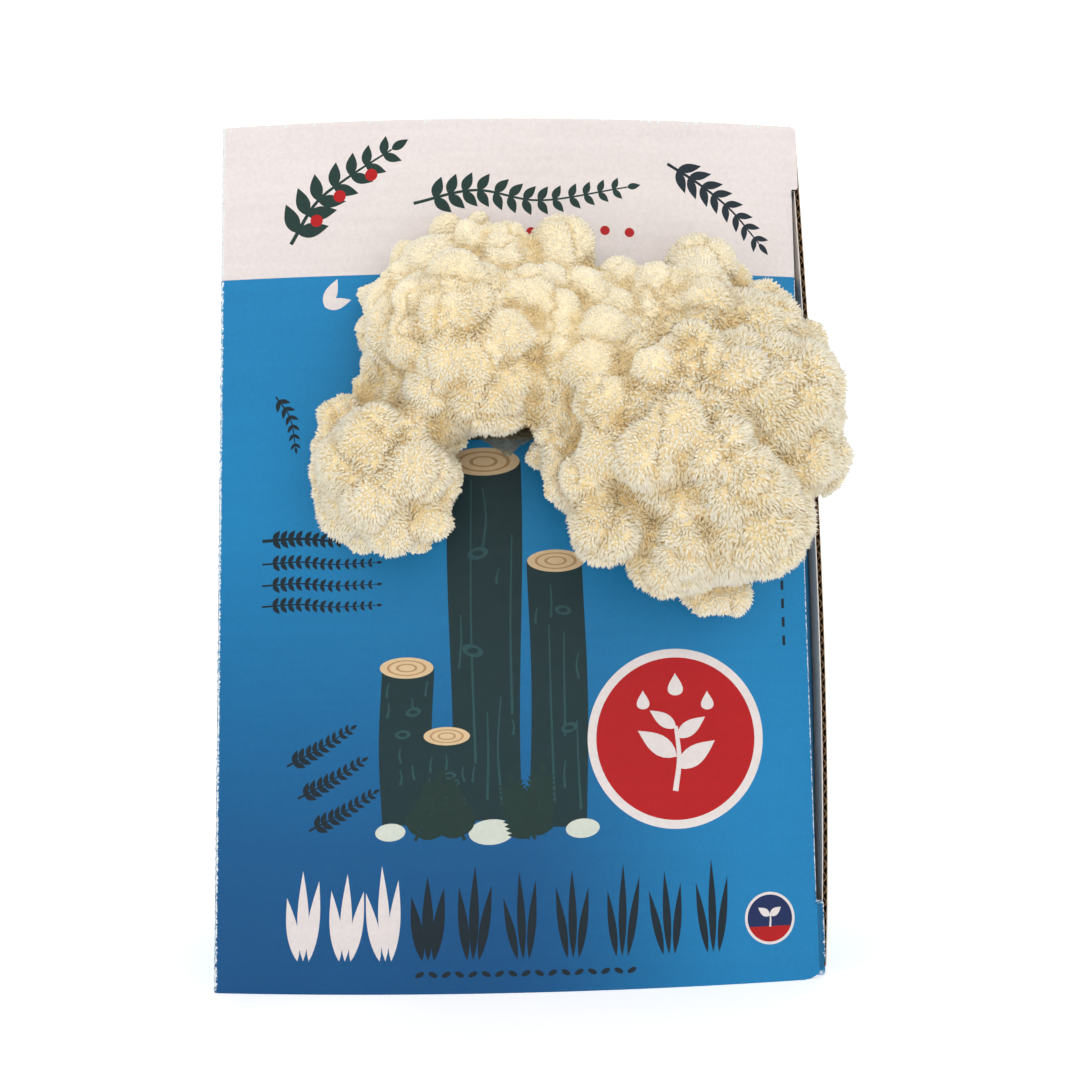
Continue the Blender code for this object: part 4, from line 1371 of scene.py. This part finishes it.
def spineMesh(roots, middles, tips, draw):
    # three-sided: a ring at the root, a ring in the middle and a point
    count = len(roots)
    along = unit(tips - roots)
    helper = np.where(np.abs(along[:, 2:]) < 0.8, (0.0, 0.0, 1.0), (1.0, 0.0, 0.0))
    side = unit(np.cross(along, helper))
    other = np.cross(along, side)
    turns = draw.uniform(0, 2 * math.pi, count)[:, None] + np.array([0, 2, 4]) * math.pi / 3
    thick = draw.uniform(0.82, 1.18, count)
    lower = ringAround(roots, side, other, turns, flesh["rootWidth"] * thick)
    upper = ringAround(middles, side, other, turns, flesh["middleWidth"] * thick)
    points = np.concatenate([lower, upper, tips[:, None]], axis=1)
    faces = np.array(spineFaces)[None] + points.shape[1] * np.arange(count)[:, None, None]
    reach = np.tile([0.0] * 3 + [flesh["middleAt"]] * 3 + [1.0], count)
    return points.reshape(-1, 3), faces.reshape(-1, 3), reach


fleshLook = {
    "root": linear(246, 226, 182),      # a spine from its root to its tip, and the skin between: darker and warmer towards the root, painted shade down between the spines
    "lower": linear(250, 238, 208),
    "upper": linear(254, 246, 225),
    "tip": linear(255, 250, 235),
    "stem": linear(196, 164, 112),
    "warmPatch": (0.97, 0.93, 0.82),    # what is left of the colour in a warm patch, and in a crease as painted shade
    "creaseShade": (0.85, 0.73, 0.50),
    "creaseShadeShare": 0.75,
}


def fleshMaterial():
    material, tree, shader = paintMaterial("mushroomFlesh", roughness=0.72)
    names = ("reach", "crease", "tint", "stem")
    reach, crease, tint, stem = (carried(tree, name).outputs["Fac"] for name in names)
    # the colour darkens and warms from tip to root: painted shade between the spines
    length = ramp(tree, reach, (0.0, fleshLook["root"]), (0.35, fleshLook["lower"]),
                  (0.7, fleshLook["upper"]), (1.0, fleshLook["tip"]))
    patches = product(tree, spread(tree, cloud(tree, objectPlace(tree), 55.0, 3.0), 0.35, 0.65), 0.5)
    warm = blendColours(tree, "MULTIPLY", patches, length, fleshLook["warmPatch"])
    # creases darken towards tan: painted shade
    share = product(tree, crease, fleshLook["creaseShadeShare"])
    deep = blendColours(tree, "MULTIPLY", share, warm, fleshLook["creaseShade"])
    deep = blendColours(tree, "MIX", stem, deep, fleshLook["stem"])
    tone = grey(tree, spread(tree, tint, -2.0, 2.0, 0.95, 1.04))
    feed(tree, shader.inputs["Base Color"], blendColours(tree, "MULTIPLY", 1.0, deep, tone))
    shader.inputs["Specular IOR Level"].default_value = 0.22
    return material


def addSpines(roots, middles, tips, crease, draw, material):
    tint = draw.normal(size=len(roots))
    shares = math.ceil(len(roots) * len(spineFaces) / flesh["mostTriangles"])
    for number, share in enumerate(np.array_split(np.argsort(roots[:, 0], kind="stable"), shares)):
        points, faces, reach = spineMesh(roots[share], middles[share], tips[share], draw)
        mesh = meshFrom(f"spines_{number + 1}", points, faces)
        corners = len(points) // len(share)
        addValues(mesh, reach=reach, crease=np.repeat(crease[share], corners),
                  tint=np.repeat(tint[share], corners))
        addPiece(mesh.name, mesh, material, "mushroom_flesh", "lions_mane")
        print("scene:", mesh.name, len(faces), "triangles")


def addMushroom():
    material = fleshMaterial()
    everyLump = [lump for lumps in heads.values() for lump in lumps]
    centres, radii, lengths, cores = lumpTable(everyLump)
    points, faces, triangles, outwards, varied = fleshSkin(centres, radii, lengths, cores)
    mesh = meshFrom("mushroom_body", points, triangles)
    # the skin takes the roots' painted shade, lighter where the flesh is velvety and the spines short
    addValues(mesh, reach=0.05 + 0.3 * varied[:, 2], crease=varied[:, 1], tint=waveNoise(points, 3.0, 8),
              stem=varied[:, 3])
    addPiece("mushroom_body", mesh, material, "mushroom_flesh", "lions_mane")
    print("scene: mushroom body,", len(triangles), "triangles")
    addSpines(*growSpines(points, faces, outwards, varied, centres, radii, cores, 12), material)


addMushroom()


# Block and bag

packed = {
    "blockLow": (-78.5, -54.2, 4.3),
    "blockHigh": (75.9, 54.5, 226.3),
    "rounding": 13.0,
    "dome": 5.4,            # how far the front bulges out behind the lid
    "film": 0.2,
    "filmGap": 0.35,
    "crinkle": 0.16,
    "blockStep": 3.6,
    "bagStep": 4.2,
    "cut": 15.0,            # half the side of the square that the crossed cuts leave open
    "frontSide": -40.0,     # the film's front lies beyond this, and only it is cut
    "pointPath": [(2.6, -0.2), (5.6, -0.3), (8.5, -1.2), (12.0, -4.0), (15.5, -8.0)],
    "pointHalfWidths": [14.0, 12.4, 9.2, 5.2, 0.4],
    "pointCrease": 0.8,
}


def roundedBox(low, high, radius, step):
    # six square grids on a box; each point is drawn to within the radius of the inner box:
    # inner = clip(point, low + radius, high - radius), place = inner + radius * unit(point - inner)
    low, high = np.array(low), np.array(high)
    patches = []
    for axis in range(3):
        first, second = (axis + 1) % 3, (axis + 2) % 3
        columns = np.linspace(low[first], high[first], int((high[first] - low[first]) / step) + 1)
        rows = np.linspace(low[second], high[second], int((high[second] - low[second]) / step) + 1)
        across, up = np.meshgrid(columns, rows)
        for side in (low, high):
            points = np.empty((across.size, 3))
            points[:, first], points[:, second], points[:, axis] = across.ravel(), up.ravel(), side[axis]
            faces = gridFaces(len(rows), len(columns))
            patches.append((points, faces if side is high else faces[:, ::-1]))
    points, faces = join(*patches)
    inner = np.clip(points, low + radius, high - radius)
    points = inner + radius * unit(points - inner)
    _, first, which = np.unique(np.round(points, 3), axis=0, return_index=True, return_inverse=True)
    return points[first], which.ravel()[faces]


def domed(points):
    # the front swells by the dome times one less the square of the way across, fading to the back
    low, high = packed["blockLow"][1], packed["blockHigh"][1]
    share = np.clip((high - points[:, 1]) / (high - low), 0.0, 1.0)
    swell = packed["dome"] * np.maximum(0.0, 1.0 - (points[:, 0] / carton["halfWidth"]) ** 2) * share ** 3
    return points - np.stack([0 * swell, swell, 0 * swell], axis=1)


def blockMaterial():
    material, tree, shader = paintMaterial("sawdustBlock", roughness=0.9)
    place = objectPlace(tree)
    chips = ramp(tree, cloud(tree, place, 900.0, 3.0, 0.6), (0.30, linear(92, 62, 36)),
                 (0.50, linear(140, 102, 64)), (0.70, linear(184, 148, 104)))
    threads = spread(tree, cloud(tree, place, 70.0, 5.0, 0.62), 0.46, 0.60)
    colour = blendColours(tree, "MIX", product(tree, threads, 0.85), chips, linear(232, 224, 204))
    feed(tree, shader.inputs["Base Color"], colour)
    relief(tree, shader, cloud(tree, place, 700.0, 4.0, 0.6), 0.6, 0.0006)
    return material


def addBlock():
    low, high = packed["blockLow"], packed["blockHigh"]
    points, faces = roundedBox(low, high, packed["rounding"], packed["blockStep"])
    points = domed(points)
    rough = 0.45 + 0.3 * waveNoise(points, 9.0, 51) + 0.15 * waveNoise(points, 3.5, 52)
    points = points - vertexNormals(points, faces) * np.clip(rough, 0.0, 1.2)[:, None]
    mesh = meshFrom("block_sawdust", points, faces)
    addPiece("block_sawdust", mesh, blockMaterial(), "sawdust_block", "substrate_block")


def filmMaterial():
    material, tree, shader = paintMaterial("bagFilm", roughness=0.24)
    place = objectPlace(tree)
    feed(tree, shader.inputs["Base Color"], linear(168, 172, 156))
    shader.inputs["Alpha"].default_value = 0.5
    relief(tree, shader, cloud(tree, place, 130.0, 4.0, 0.6), 0.7, 0.0008)
    return material


def bagPoint():
    # the lower point of the crossed cuts: rows follow its path out of the hole, columns run
    # across it, with a sharp crease down the middle and fine crinkles
    path = curveThrough(packed["pointPath"], 8)
    stops = np.linspace(0, 1, len(packed["pointHalfWidths"]))
    half = np.interp(np.linspace(0, 1, len(path)), stops, packed["pointHalfWidths"])
    across = np.linspace(-1, 1, 25)
    side, out = np.meshgrid(across, path[:, 0])
    rise = np.repeat(path[:, 1:], len(across), axis=1)
    width = np.repeat(half[:, None], len(across), axis=1)
    crease = packed["pointCrease"] * (1 - np.abs(side)) * width / packed["pointHalfWidths"][0]
    flat = np.stack([side * width, out], axis=-1).reshape(-1, 2)
    crinkle = 0.22 * waveNoise(flat, 3.4, 61) + 0.12 * waveNoise(flat, 1.6, 62)
    height = flesh["neckZ"] - packed["cut"] + rise + crease
    points = np.stack([flesh["neckX"] + side * width, carton["front"] - out, height], axis=-1).reshape(-1, 3)
    points[:, 2] += crinkle * np.minimum(1.0, flat[:, 1] / 6.0)
    return points, gridFaces(len(path), len(across))[:, ::-1]


def addBag():
    gap = packed["filmGap"] + packed["film"]
    low, high = np.array(packed["blockLow"]) - gap, np.array(packed["blockHigh"]) + gap
    points, faces = roundedBox(low, high, packed["rounding"] + gap, packed["bagStep"])
    points = domed(points)
    crinkle = np.abs(waveNoise(points, 11.0, 53)) * 0.7 + np.abs(waveNoise(points, 4.5, 54)) * 0.4
    points = points - vertexNormals(points, faces) * (packed["crinkle"] * np.clip(crinkle, 0.0, 1.0))[:, None]
    middle = points[faces].mean(axis=1)
    away = np.maximum(np.abs(middle[:, 0] - flesh["neckX"]), np.abs(middle[:, 2] - flesh["neckZ"]))
    faces = faces[(away >= packed["cut"]) | (middle[:, 1] >= packed["frontSide"])]
    used, faces = np.unique(faces, return_inverse=True)
    points, faces = join((points[used], faces.reshape(-1, 3)), bagPoint())
    bag = addPiece("bag_film", meshFrom("bag_film", points, faces), filmMaterial(), "clear_film", "grow_bag")
    thick = bag.modifiers.new("filmThickness", "SOLIDIFY")
    thick.thickness = packed["film"] * metresPerMm
    thick.offset = -1.0


addBlock()
addBag()
print("scene: block and bag")
